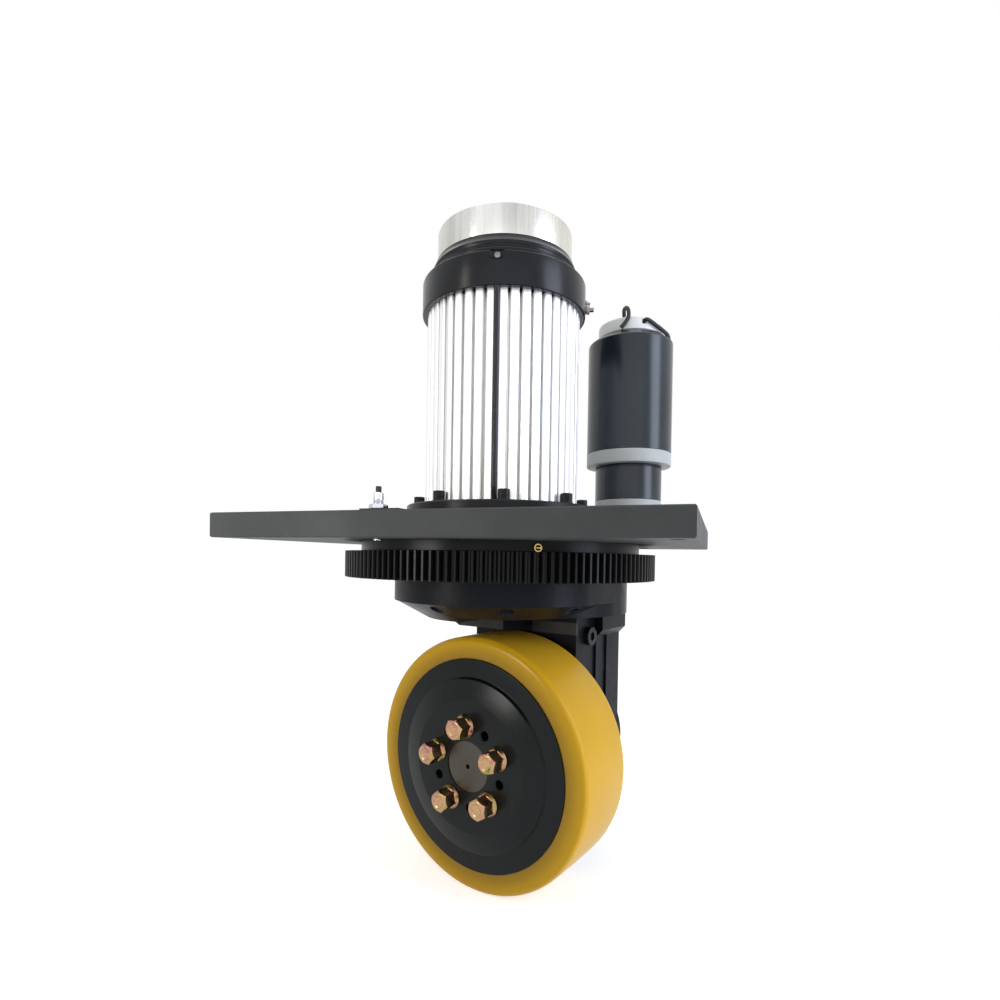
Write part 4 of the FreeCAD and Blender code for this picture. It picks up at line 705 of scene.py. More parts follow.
@dataclass(frozen=True)
class Paint:
    """A sprayed coat: a little orange peel, dust and uneven gloss."""

    name: str
    colour: Colour
    roughness: float = 0.4
    specular: float = 0.5
    metal: float = 0.0
    mottle: float = 0.12
    least_light: float = 0.001
    cloud: Noise = Noise(14, 4)
    cloud_span: Span = (0.3, 0.7)
    sheen: Noise = Noise(60, 5)
    sheen_swing: float = 0.5
    peel: Noise = Noise(500, 2)
    dust: Noise = Noise(900, 2)
    peel_share: float = 0.7
    depth: float = 0.03 * MM

    def build(self) -> bpy.types.Material:
        """Make the material."""
        graph = Graph(self.name)
        light = tuple(min(1.0, c * (1 + self.mottle) + self.least_light) for c in self.colour)
        dark = tuple(c * (1 - self.mottle) for c in self.colour)
        height = graph.noise(self.peel) * self.peel_share + graph.noise(self.dust) * (1 - self.peel_share)
        return graph.finish(
            graph.mix(graph.noise(self.cloud).between(*self.cloud_span), dark, light),
            graph.noise(self.sheen).swing(self.roughness, self.roughness * self.sheen_swing),
            Metallic=self.metal,
            Normal=graph.bump(height, self.depth),
            Specular_IOR_Level=self.specular,
        )


@dataclass(frozen=True)
class Pad:
    """A lighter place on the casting, across the axle, upright and along the axle: a machined flat, partly
    painted light where the face is lit below the flange's shadow.
    """

    across: Span
    upright: Span
    outward: Span
    edge: float = 1.5 * MM

    def mask(self, graph: Graph) -> Value:
        """How far a point lies within the pad, from 0 to 1."""
        place = axle_place()
        share = None
        for column, (low, high) in enumerate((self.across, self.upright, self.outward)):
            axis = place.col[column].to_3d()
            reach = graph.along(Vector(), axis)[0]
            inside = reach.between(low, low + self.edge) * (1 - reach.between(high - self.edge, high))
            share = inside if share is None else share * inside
        return share


@dataclass(frozen=True)
class Casting:
    """Black paint on rough cast iron, thin and greyer where it was rubbed; the greyer patches are partly
    painted sheen and the lighter pads partly painted light.
    """

    name: str
    colour: Colour = (0.0055, 0.0065, 0.009)
    # Colour of the greyer patches and specks: rubbed paint, and painted sheen for a mottled shine
    worn: Colour = (0.06, 0.063, 0.07)
    # Colour of the pads: machined flats, partly painted light below the flange's shadow
    bare: Colour = (0.075, 0.072, 0.068)
    roughness: float = 0.36
    specular: float = 0.08
    depth: float = 0.22 * MM
    patches: Noise = Noise(16, 6, 0.6)
    patch_span: Span = (0.6, 0.78)
    patch_share: float = 0.55
    specks: Noise = Noise(420, 2)
    speck_span: Span = (0.68, 0.8)
    speck_share: float = 0.175
    pad_cloud: Noise = Noise(90, 4)
    pad_cover: float = 0.8
    pad_swing: float = 0.5
    grain: Noise = Noise(260, 5, 0.65)
    grain_share: float = 0.6
    swell: Noise = Noise(70, 3)
    swell_share: float = 0.8
    sheen: Noise = Noise(45, 4)
    sheen_swing: float = 0.3
    # Pads on the leg's front face, painted lighter: partly painted light where it is lit below the flange's
    # shadow
    lit_pads: tuple[Pad, ...] = (
        Pad((-45 * MM, 8 * MM), (-101 * MM, -88 * MM), (-8 * MM, 12 * MM)),
        Pad((10 * MM, 61 * MM), (-106 * MM, -93 * MM), (-46 * MM, -38 * MM)),
    )

    def build(self) -> bpy.types.Material:
        """Make the material."""
        graph = Graph(self.name)
        # Greyer patches: partly rubbed paint, partly painted sheen
        wear_and_sheen = graph.noise(self.patches).between(*self.patch_span) * self.patch_share
        specks = graph.noise(self.specks).between(*self.speck_span) * self.speck_share
        colour = graph.mix(wear_and_sheen + specks, self.colour, self.worn)
        # Paint the pads lighter: machined flats, partly painted light
        for pad in self.lit_pads:
            cover = pad.mask(graph) * graph.noise(self.pad_cloud).swing(self.pad_cover, self.pad_swing)
            colour = graph.mix(cover, colour, self.bare)
        height = graph.noise(self.grain) * self.grain_share + graph.noise(self.swell) * self.swell_share
        return graph.finish(
            colour,
            graph.noise(self.sheen).swing(self.roughness, self.sheen_swing),
            Normal=graph.bump(height, self.depth),
            Specular_IOR_Level=self.specular,
        )


@dataclass(frozen=True)
class Machined:
    """Turned or drawn metal with fine tool marks around or along an axis."""

    name: str
    colour: Colour
    axis: Axis = Axis.STEERING
    drawn: bool = False
    roughness: float = 0.3
    metal: float = 1.0
    # Darkness of the streaks: tool marks, and on the cap also painted reflection
    streak: float = 0.2
    depth: float = 0.008 * MM
    # Colour of the blots: a stain, and painted shade for the darker, yellowish sides of the fins and the
    # cap
    stain_and_shade: Colour | None = None
    specular: float = 0.5
    turned_marks: Noise = Noise(2600, 3, 0.6)
    turned_bands: Noise = Noise(90, 2)
    drawn_marks: Noise = Noise(24, 6, 0.7)
    drawn_bands: Noise = Noise(3.2, 2)
    drawn_rise: float = 0.9
    band_span: Span = (0.3, 0.7)
    band_share: float = 0.5
    blots: Noise = Noise(9, 3)
    blot_span: Span = (0.45, 0.75)
    blot_share: float = 0.6
    sheen_swing: float = 0.3

    def build(self) -> bpy.types.Material:
        """Make the material."""
        graph = Graph(self.name)
        reach, radius, across = graph.along(*self.axis.line())
        if self.drawn:
            flat = graph.vector("NORMALIZE", across).outputs[0]
            place = graph.vector("ADD", flat, graph.combined(Z=reach * self.drawn_rise)).outputs[0]
            marks = graph.noise(self.drawn_marks, place)
            bands = graph.noise(self.drawn_bands, place)
        else:
            place = graph.combined(X=radius, Y=reach)
            marks = graph.noise(self.turned_marks, place)
            bands = graph.noise(self.turned_bands, place)
        # Darker streaks: tool marks, and on the cap also painted reflection
        dark = tuple(c * (1 - self.streak) for c in self.colour)
        share = bands.between(*self.band_span) * self.band_share + marks * (1 - self.band_share)
        shade = graph.mix(share, dark, self.colour)
        # Blots: a stain, and painted shade on the fins and the cap
        if self.stain_and_shade is not None:
            blots = graph.noise(self.blots).between(*self.blot_span) * self.blot_share
            shade = graph.mix(blots, shade, self.stain_and_shade)
        return graph.finish(
            shade,
            marks.swing(self.roughness, self.sheen_swing),
            Metallic=self.metal,
            Normal=graph.bump(marks, self.depth),
            Specular_IOR_Level=self.specular,
        )


@dataclass(frozen=True)
class Polyurethane:
    """Cast amber tyre: clear and bright at its rim, darker near the hub, with a worn tread."""

    name: str
    hub_radius: float
    rim_radius: float
    amber: Colour = (0.50, 0.285, 0.003)
    deep: Colour = (0.29, 0.165, 0.003)
    tread: Colour = (0.72, 0.40, 0.02)
    clear_below_rim: float = 3 * MM
    cloud: Noise = Noise(9, 4)
    cloud_swing: float = 0.25
    worn_below_rim: Span = (3.5 * MM, 0.8 * MM)
    wear: Noise = Noise(22, 4)
    wear_cover: float = 0.85
    wear_swing: float = 0.5
    scuffs: Noise = Noise(700, 3)
    scuff_share: float = 0.6
    swell: Noise = Noise(120, 3)
    depth: float = 0.04 * MM
    roughness: float = 0.16
    worn_roughness: float = 0.16
    sheen: Noise = Noise(30, 5)
    sheen_share: float = 0.12
    specular: float = 0.2
    scatter: float = 0.15
    scatter_colour: Colour = (0.9, 0.45, 0.08)
    scatter_reach: float = 4 * MM

    def build(self) -> bpy.types.Material:
        """Make the material."""
        graph = Graph(self.name)
        reach, radius, _ = graph.along(*Axis.AXLE.line())
        face = radius.between(self.hub_radius, self.rim_radius - self.clear_below_rim)
        clear = face + graph.noise(self.cloud).swing(0, self.cloud_swing)
        worn = radius.between(*(self.rim_radius - depth for depth in self.worn_below_rim))
        worn = worn * graph.noise(self.wear).swing(self.wear_cover, self.wear_swing)
        scuffs = graph.noise(self.scuffs, graph.combined(X=reach, Y=radius)) * self.scuff_share
        gloss = graph.noise(self.sheen) * self.sheen_share + self.roughness
        return graph.finish(
            graph.mix(worn, graph.mix(clear, self.deep, self.amber), self.tread),
            gloss + worn * self.worn_roughness,
            Normal=graph.bump(scuffs + graph.noise(self.swell), self.depth),
            Specular_IOR_Level=self.specular,
            Subsurface_Weight=self.scatter,
            Subsurface_Radius=self.scatter_colour,
            Subsurface_Scale=self.scatter_reach,
        )


@dataclass(frozen=True)
class HubBlack:
    """Blackened hub with faint turning marks, an oily sheen and a few scratches."""

    name: str
    colour: Colour = (0.0045, 0.006, 0.0065)
    bare: Colour = (0.30, 0.30, 0.31)
    marks: Noise = Noise(1500, 3, 0.6)
    marks_rise: float = 0.3
    scratches: Noise = Noise(1, 2)
    scratch_turn: Triple = (0.3, 0.5, 0.2)
    scratch_stretch: Triple = (60, 60, 900)
    scratch_span: Span = (0.77, 0.8)
    scratch_share: float = 0.8
    places: Noise = Noise(40, 2)
    place_span: Span = (0.6, 0.68)
    roughness: float = 0.2
    marks_swing: float = 0.16
    sheen: Noise = Noise(35, 4)
    sheen_share: float = 0.1
    depth: float = 0.01 * MM
    metal: float = 0.1
    specular: float = 0.17

    def build(self) -> bpy.types.Material:
        """Make the material."""
        graph = Graph(self.name)
        reach, radius, across = graph.along(*Axis.AXLE.line())
        marks = graph.noise(self.marks, graph.combined(X=radius, Y=reach * self.marks_rise))
        stretched = graph.node(
            "ShaderNodeMapping",
            {},
            {"Vector": across, "Rotation": self.scratch_turn, "Scale": self.scratch_stretch},
        ).outputs[0]
        scratch = graph.noise(self.scratches, stretched).between(*self.scratch_span)
        scratch = scratch * graph.noise(self.places).between(*self.place_span)
        return graph.finish(
            graph.mix(scratch * self.scratch_share, self.colour, self.bare),
            marks.swing(self.roughness, self.marks_swing) + graph.noise(self.sheen) * self.sheen_share,
            Metallic=self.metal,
            Normal=graph.bump(marks, self.depth),
            Specular_IOR_Level=self.specular,
        )


@dataclass(frozen=True)
class YellowZinc:
    """Zinc plate with a rainbow passivation, from gold through pink to green."""

    name: str
    green_gold: Colour = (0.10, 0.14, 0.045)
    gold: Colour = (0.34, 0.25, 0.09)
    orange: Colour = (0.42, 0.27, 0.14)
    pink: Colour = (0.38, 0.18, 0.155)
    olive: Colour = (0.14, 0.125, 0.08)
    steps: tuple[float, ...] = (0.30, 0.42, 0.52, 0.62, 0.74)
    film: Noise = Noise(75, 3)
    film_share: float = 0.75
    fine_film: Noise = Noise(300, 2)
    roughness: float = 0.2
    sheen: Noise = Noise(160, 3)
    sheen_share: float = 0.18
    grain: Noise = Noise(380, 3)
    depth: float = 0.04 * MM

    def build(self) -> bpy.types.Material:
        """Make the material."""
        graph = Graph(self.name)
        fine = graph.noise(self.fine_film) * (1 - self.film_share)
        film = graph.noise(self.film) * self.film_share + fine
        colours = (self.green_gold, self.gold, self.orange, self.pink, self.olive)
        return graph.finish(
            graph.ramp(film, list(zip(self.steps, colours))),
            graph.noise(self.sheen) * self.sheen_share + self.roughness,
            Metallic=1.0,
            Normal=graph.bump(graph.noise(self.grain), self.depth),
        )


@dataclass(frozen=True)
class Rubber:
    """Matt black rubber or cable jacket."""

    name: str
    colour: Colour = (0.012, 0.012, 0.012)
    dusty: Colour = (0.06, 0.06, 0.055)
    dust: Noise = Noise(130, 4)
    dust_span: Span = (0.55, 0.8)
    dust_share: float = 0.3
    roughness: float = 0.5
    sheen: Noise = Noise(200, 3)
    sheen_share: float = 0.2
    grain: Noise = Noise(700, 2)
    depth: float = 0.03 * MM

    def build(self) -> bpy.types.Material:
        """Make the material."""
        graph = Graph(self.name)
        dust = graph.noise(self.dust).between(*self.dust_span) * self.dust_share
        return graph.finish(
            graph.mix(dust, self.colour, self.dusty),
            graph.noise(self.sheen) * self.sheen_share + self.roughness,
            Normal=graph.bump(graph.noise(self.grain), self.depth),
        )


@dataclass(frozen=True)
class Winding:
    """Varnished copper wire, wound around the motor's axis."""

    name: str
    dark: Colour = (0.38, 0.12, 0.04)
    light: Colour = (0.62, 0.26, 0.10)
    cloud: Noise = Noise(60, 3)
    turns: float = 6000
    depth: float = 0.2 * MM
    roughness: float = 0.3
    metal: float = 0.8

    def build(self) -> bpy.types.Material:
        """Make the material."""
        graph = Graph(self.name)
        reach, radius, _ = graph.along(*Axis.STEERING.line())
        wave = graph.maths("SINE", (reach + radius) * self.turns)
        return graph.finish(
            graph.mix(graph.noise(self.cloud), self.dark, self.light),
            self.roughness,
            Metallic=self.metal,
            Normal=graph.bump(wave, self.depth),
        )


def finishes() -> dict[str, Any]:
    """The finish of each material slot of the record.

    Returns:
        Finish by slot.
    """
    low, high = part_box("tyre")
    hub_low, hub_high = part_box("wheel_hub")
    rim = (high.z - low.z) / 2
    hub_rim = (hub_high.z - hub_low.z) / 2
    made = (
        Paint("plate_paint", (0.052, 0.057, 0.057), roughness=0.5, specular=0.12),
        Machined(
            "black_steel", (0.006, 0.0062, 0.007), metal=0.0, depth=0.02 * MM, streak=0.4, specular=0.14
        ),
        Paint("black_screws", (0.007, 0.007, 0.008), roughness=0.3, specular=0.16),
        Machined("bearing_steel", (0.7, 0.7, 0.71), roughness=0.18),
        Machined("brass", (0.78, 0.55, 0.2), roughness=0.25),
        Paint("flange_black", (0.009, 0.0095, 0.011), roughness=0.32, specular=0.16),
        # The fins' yellowish blots are partly painted shade for their greyer left side
        Machined(
            "fin_aluminium",
            (0.96, 0.965, 0.97),
            drawn=True,
            roughness=0.4,
            metal=0.85,
            streak=0.12,
            depth=0.01 * MM,
            stain_and_shade=(0.82, 0.82, 0.75),
        ),
        Machined("lamination", (0.32, 0.32, 0.34), roughness=0.45, depth=0.06 * MM),
        Winding("copper_winding"),
        Paint("rod_black", (0.016, 0.013, 0.020), roughness=0.28, specular=0.3),
        Paint("bell_black", (0.004, 0.005, 0.008), roughness=0.24, specular=0.24),
        Machined("stud_metal", (0.24, 0.23, 0.25), roughness=0.25),
        Paint("brake_iron", (0.04, 0.04, 0.042), roughness=0.35, specular=0.3),
        # Strong streaks and yellowish blots: partly painted reflection, the darker streaks and sides of a
        # brushed cylinder
        Machined(
            "cap_steel",
            (0.90, 0.90, 0.885),
            drawn=True,
            roughness=0.26,
            streak=0.55,
            stain_and_shade=(0.56, 0.53, 0.37),
        ),
        Paint("ring_grey", (0.50, 0.515, 0.49), roughness=0.42, specular=0.25, mottle=0.05),
        Paint("motor_paint", (0.013, 0.021, 0.028), roughness=0.24, specular=0.4, mottle=0.3),
        Paint("magnet_dark", (0.05, 0.05, 0.052), roughness=0.4, metal=0.6),
        Paint("cap_white", (0.90, 0.90, 0.88), roughness=0.38, mottle=0.05),
        Rubber("lead_rubber"),
        Machined("gear_steel", (0.56, 0.56, 0.57)),
        Machined("sensor_nickel", (0.66, 0.68, 0.74), roughness=0.2),
        Casting("housing_cast"),
        Rubber("seal_rubber", (0.018, 0.018, 0.018)),
        Polyurethane("tyre_polyurethane", hub_rim, rim),
        HubBlack("hub_black"),
        YellowZinc("yellow_zinc"),
        Machined(
            "axle_ground", (0.075, 0.069, 0.058), axis=Axis.AXLE, roughness=0.36, depth=0.02 * MM
        ),
    )
    return {finish.name: finish for finish in made}


class Store:
    """The materials of the unit, and how a piece is dressed with them."""

    def __init__(self) -> None:
        """Build every finish once."""
        self.materials = {slot: finish.build() for slot, finish in finishes().items()}

    def dress(self, piece: bpy.types.Object, slot: str) -> bpy.types.Object:
        """Give a piece the finish of a slot.

        Args:
            piece: The piece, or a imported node.
            slot: The slot's name.

        Returns:
            The piece.
        """
        if not piece.data.materials:
            piece.data.materials.append(self.materials[slot])
        for k in range(len(piece.material_slots)):
            piece.material_slots[k].material = self.materials[slot]
        return piece

    def fit(self, piece: bpy.types.Object, slot: str, body: Body, *nodes: str) -> bpy.types.Object:
        """Dress a new piece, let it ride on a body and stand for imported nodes.

        Args:
            piece: The finished piece.
            slot: Its material slot.
            body: The body that it moves with.
            *nodes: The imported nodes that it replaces.

        Returns:
            The piece.
        """
        self.dress(piece, slot)
        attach(piece, body.value)
        if nodes:
            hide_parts(*nodes)
        log.info("%s: %d faces on %s", piece.name, len(piece.data.polygons), body.value)
        return piece


NODE_SLOTS = {
    "plate_paint": ["mounting_plate", "sensor_bracket"],
    "black_steel": ["slewing_fixed_ring", "ring_gear"],
    "black_screws": [
        *("ring_screws", "flange_screws", "reducer_screws"),
        *("rear_cover_screws", "housing_screws", "oil_plug"),
    ],
    "bearing_steel": [
        *("slewing_balls", "motor_bearings", "steering_bearings"),
        *("countershaft_bearings", "axle_bearings"),
    ],
    "brass": ["grease_nipple"],
    "flange_black": ["motor_flange"],
    "fin_aluminium": ["motor_frame"],
    "lamination": ["stator_core", "rotor_core", "armature_core"],
    "copper_winding": ["stator_windings"],
    "rod_black": ["tie_rods"],
    "bell_black": ["end_bell", "brake_housing"],
    "stud_metal": ["terminal_studs"],
    "brake_iron": ["brake_magnet", "brake_disc"],
    "cap_steel": ["encoder_cap"],
    "ring_grey": ["reducer_base", "adapter_ring"],
    "motor_paint": ["reducer_shell", "steering_motor_shell"],
    "magnet_dark": ["field_magnets"],
    "cap_white": ["brush_cap"],
    "lead_rubber": ["motor_leads"],
    "gear_steel": [
        *("planet_ring", "planet_carrier", "steering_pinion"),
        *(f"planet_gear_{k}" for k in (1, 2, 3)),
        *("armature_shaft", "rotor_shaft", "spur_gear"),
        *("bevel_shaft", "crown_gear", "axle_nut"),
    ],
    "sensor_nickel": ["home_sensor", "sensor_nuts"],
    "housing_cast": ["gear_housing", "rear_cover"],
    "seal_rubber": ["dust_seal", "axle_seal"],
    "tyre_polyurethane": ["tyre"],
    "hub_black": ["wheel_hub"],
    "yellow_zinc": ["wheel_bolts"],
    "axle_ground": ["axle_shaft"],
}


# Wheel


@dataclass
class Wheel:
    """Tyre, hub and bolts, drawn about the axle with z outwards."""

    store: Store
    half_width: float = 37.5 * MM
    shoulder: float = 7.5 * MM
    crown: float = 0.5 * MM
    crown_rounding: float = 30 * MM
    rubber_lip: float = 0.9 * MM
    lip_width: float = 5 * MM
    lip_rounding: float = 3 * MM
    lip_edge: float = 0.4 * MM
    press_gap: float = 0.03 * MM
    hub_front: float = 38 * MM
    hub_edge: float = 0.5 * MM
    rim_wall: float = 11 * MM
    rim_edge: float = 0.9 * MM
    rim_chamfer: float = 3 * MM
    slope_radius: float = 77 * MM
    slope_front: float = 41 * MM
    slope_step: float = 1.5 * MM
    slope_edge: float = 0.8 * MM
    face_radius: float = 59 * MM
    face_front: float = 45 * MM
    web_back: float = 20 * MM
    web_slope: float = 6 * MM
    web_roundings: Span = (4 * MM, 3 * MM)
    pilot_radius: float = 22.6 * MM
    bolt_circle: float = 36 * MM
    bolt_count: int = 5
    bolt_angle: float = 95
    bolt_turns: tuple[float, ...] = (9, 31, 14, 52, 27)
    bolt_radius: float = 5 * MM
    bolt_hole: float = 5.3 * MM
    bolt_seat: float = 7 * MM
    jack_hole: float = 4 * MM
    jack_depth: float = 12 * MM
    sink: float = 0.9 * MM
    overlap: float = 0.1 * MM
    bolt_flats: float = 17 * MM
    bolt_head: float = 17 * MM
    head_edge: float = 0.25 * MM
    margin: float = 1 * MM
    corner_inset: float = 0.3 * MM
    corner_drops: Span = (2.4 * MM, 1.7 * MM)
    top_insets: tuple[Point, ...] = (
        (0.6 * MM, 0.25 * MM),
        (1.5 * MM, 0.0),
        (2.9 * MM, 0.0),
        (3.9 * MM, 0.9 * MM),
    )
    dish_radius: float = 2.5 * MM
    dish_drops: Span = (0.7 * MM, 0.6 * MM)
    flange_radius: float = 10.9 * MM
    flange_rim: float = 1.6 * MM
    flange_high: float = 4.5 * MM
    flange_neck: float = 0.6 * MM
    flange_roundings: Triple = (0.4 * MM, 0.7 * MM, 0.8 * MM)

    def build(self) -> None:
        """Make the pieces of the wheel."""
        low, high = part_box("tyre")
        self.radius = (high.z - low.z) / 2
        hub_low, hub_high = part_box("wheel_hub")
        self.hub_radius = (hub_high.z - hub_low.z) / 2
        self.tyre()
        self.hub()
        self.bolts()

    def tyre(self) -> None:
        """The polyurethane tread with its rounded shoulders and slightly crowned face."""
        half = self.half_width
        outer = self.radius
        inner = self.hub_radius + self.press_gap
        corners = [
            (inner, -half + self.rubber_lip, self.lip_edge),
            (inner + self.lip_width, -half, self.lip_rounding),
            (outer - self.crown, -half, self.shoulder),
            (outer, 0, self.crown_rounding),
            (outer - self.crown, half, self.shoulder),
            (inner + self.lip_width, half, self.lip_rounding),
            (inner, half - self.rubber_lip, self.lip_edge),
        ]
        piece = smooth(lathe("tyre_moulding", corners, 8, Steps.WHEEL), Crease.CAST)
        self.store.fit(settle(piece, axle_place()), "tyre_polyurethane", Body.WHEEL, "tyre")

    def hub(self) -> None:
        """The turned hub: a stepped conical front, bolt holes and jacking threads."""
        back = -self.half_width
        inner = self.hub_radius - self.rim_wall
        steep, flat = self.web_roundings
        corners = [
            (self.pilot_radius, self.web_back, self.hub_edge),
            (self.pilot_radius, self.face_front, self.hub_edge),
            (self.face_radius, self.face_front, self.rim_edge),
            (self.slope_radius, self.slope_front, self.slope_edge),
            (self.slope_radius + self.slope_step, self.hub_front, self.slope_edge),
            (self.hub_radius, self.hub_front, self.rim_edge),
            (self.hub_radius, back, self.hub_edge),
            (inner + self.rim_chamfer, back, self.hub_edge),
            (inner, back + self.rim_chamfer, self.hub_edge),
            (inner, self.web_back - self.web_slope, steep),
            (inner - self.web_slope, self.web_back, flat),
        ]
        piece = lathe("hub_turning", corners, 3, Steps.WHEEL)
        between = 180 / self.bolt_count
        for radius, angle, low in (
            (self.bolt_hole, self.bolt_angle, 0),
            (self.jack_hole, self.bolt_angle + between, self.face_front - self.jack_depth),
        ):
            over = self.face_front + self.overlap
            outline = [(0, low), (radius, low), (radius, over - self.sink)]
            outline += [(radius + self.sink, over), (0, over)]
            drill = turned("drill", outline, Steps.SCREW)
            drills = copies("drills", drill, around(self.bolt_circle, self.bolt_count, angle))
            boolean(piece, drills, "DIFFERENCE")
        self.store.fit(settle(smooth(piece), axle_place()), "hub_black", Body.WHEEL, "wheel_hub")

    def bolts(self) -> None:
        """Five flange bolts with chamfered hexagon heads and dished ends."""
        bolt = smooth(joined("bolt", [self.bolt_top(), self.bolt_foot(), self.bolt_shank()]))
        places = around(self.bolt_circle, self.bolt_count, self.bolt_angle, self.face_front)
        turns = (Matrix.Rotation(math.radians(turn), 4, "Z") for turn in self.bolt_turns)
        piece = copies("flange_bolts", bolt, [place @ turn for place, turn in zip(places, turns)])
        self.store.fit(settle(piece, axle_place()), "yellow_zinc", Body.WHEEL, "wheel_bolts")

    def bolt_top(self) -> bpy.types.Object:
        """A bolt's hexagon head, chamfered outside and dished on top."""
        top = self.bolt_head
        half = self.bolt_flats / 2
        corner = half / FLAT_TO_CORNER
        outline = [
            (0, -self.margin),
            (corner + self.margin, -self.margin),
            (corner + self.margin, top - self.corner_drops[0]),
            (corner - self.corner_inset, top - self.corner_drops[1]),
            *((half - inset, top - drop) for inset, drop in self.top_insets),
            (self.dish_radius, top - self.dish_drops[0]),
            (0, top - self.dish_drops[1]),
        ]
        head = hexagon("head", self.bolt_flats, 0, top)
        boolean(head, turned("dome", outline, Steps.HEAD), "INTERSECT")
        return soften(head, self.head_edge, 2, Crease.FINE)

    def bolt_foot(self) -> bpy.types.Object:
        """A bolt's flange, sloping up to the head."""
        foot, rim, neck = self.flange_roundings
        corners = [
            (0, 0, 0),
            (self.flange_radius, 0, foot),
            (self.flange_radius, self.flange_rim, rim),
            (self.bolt_flats / 2 + self.flange_neck, self.flange_high, neck),
            (0, self.flange_high, 0),
        ]
        return lathe("flange", corners, 3, Steps.HEAD)

    def bolt_shank(self) -> bpy.types.Object:
        """A bolt's plain shank."""
        end = self.bolt_seat - self.face_front
        top = self.overlap
        outline = [(0, end), (self.bolt_radius, end), (self.bolt_radius, top), (0, top)]
        return turned("shank", outline, Steps.SCREW)


# Traction motor


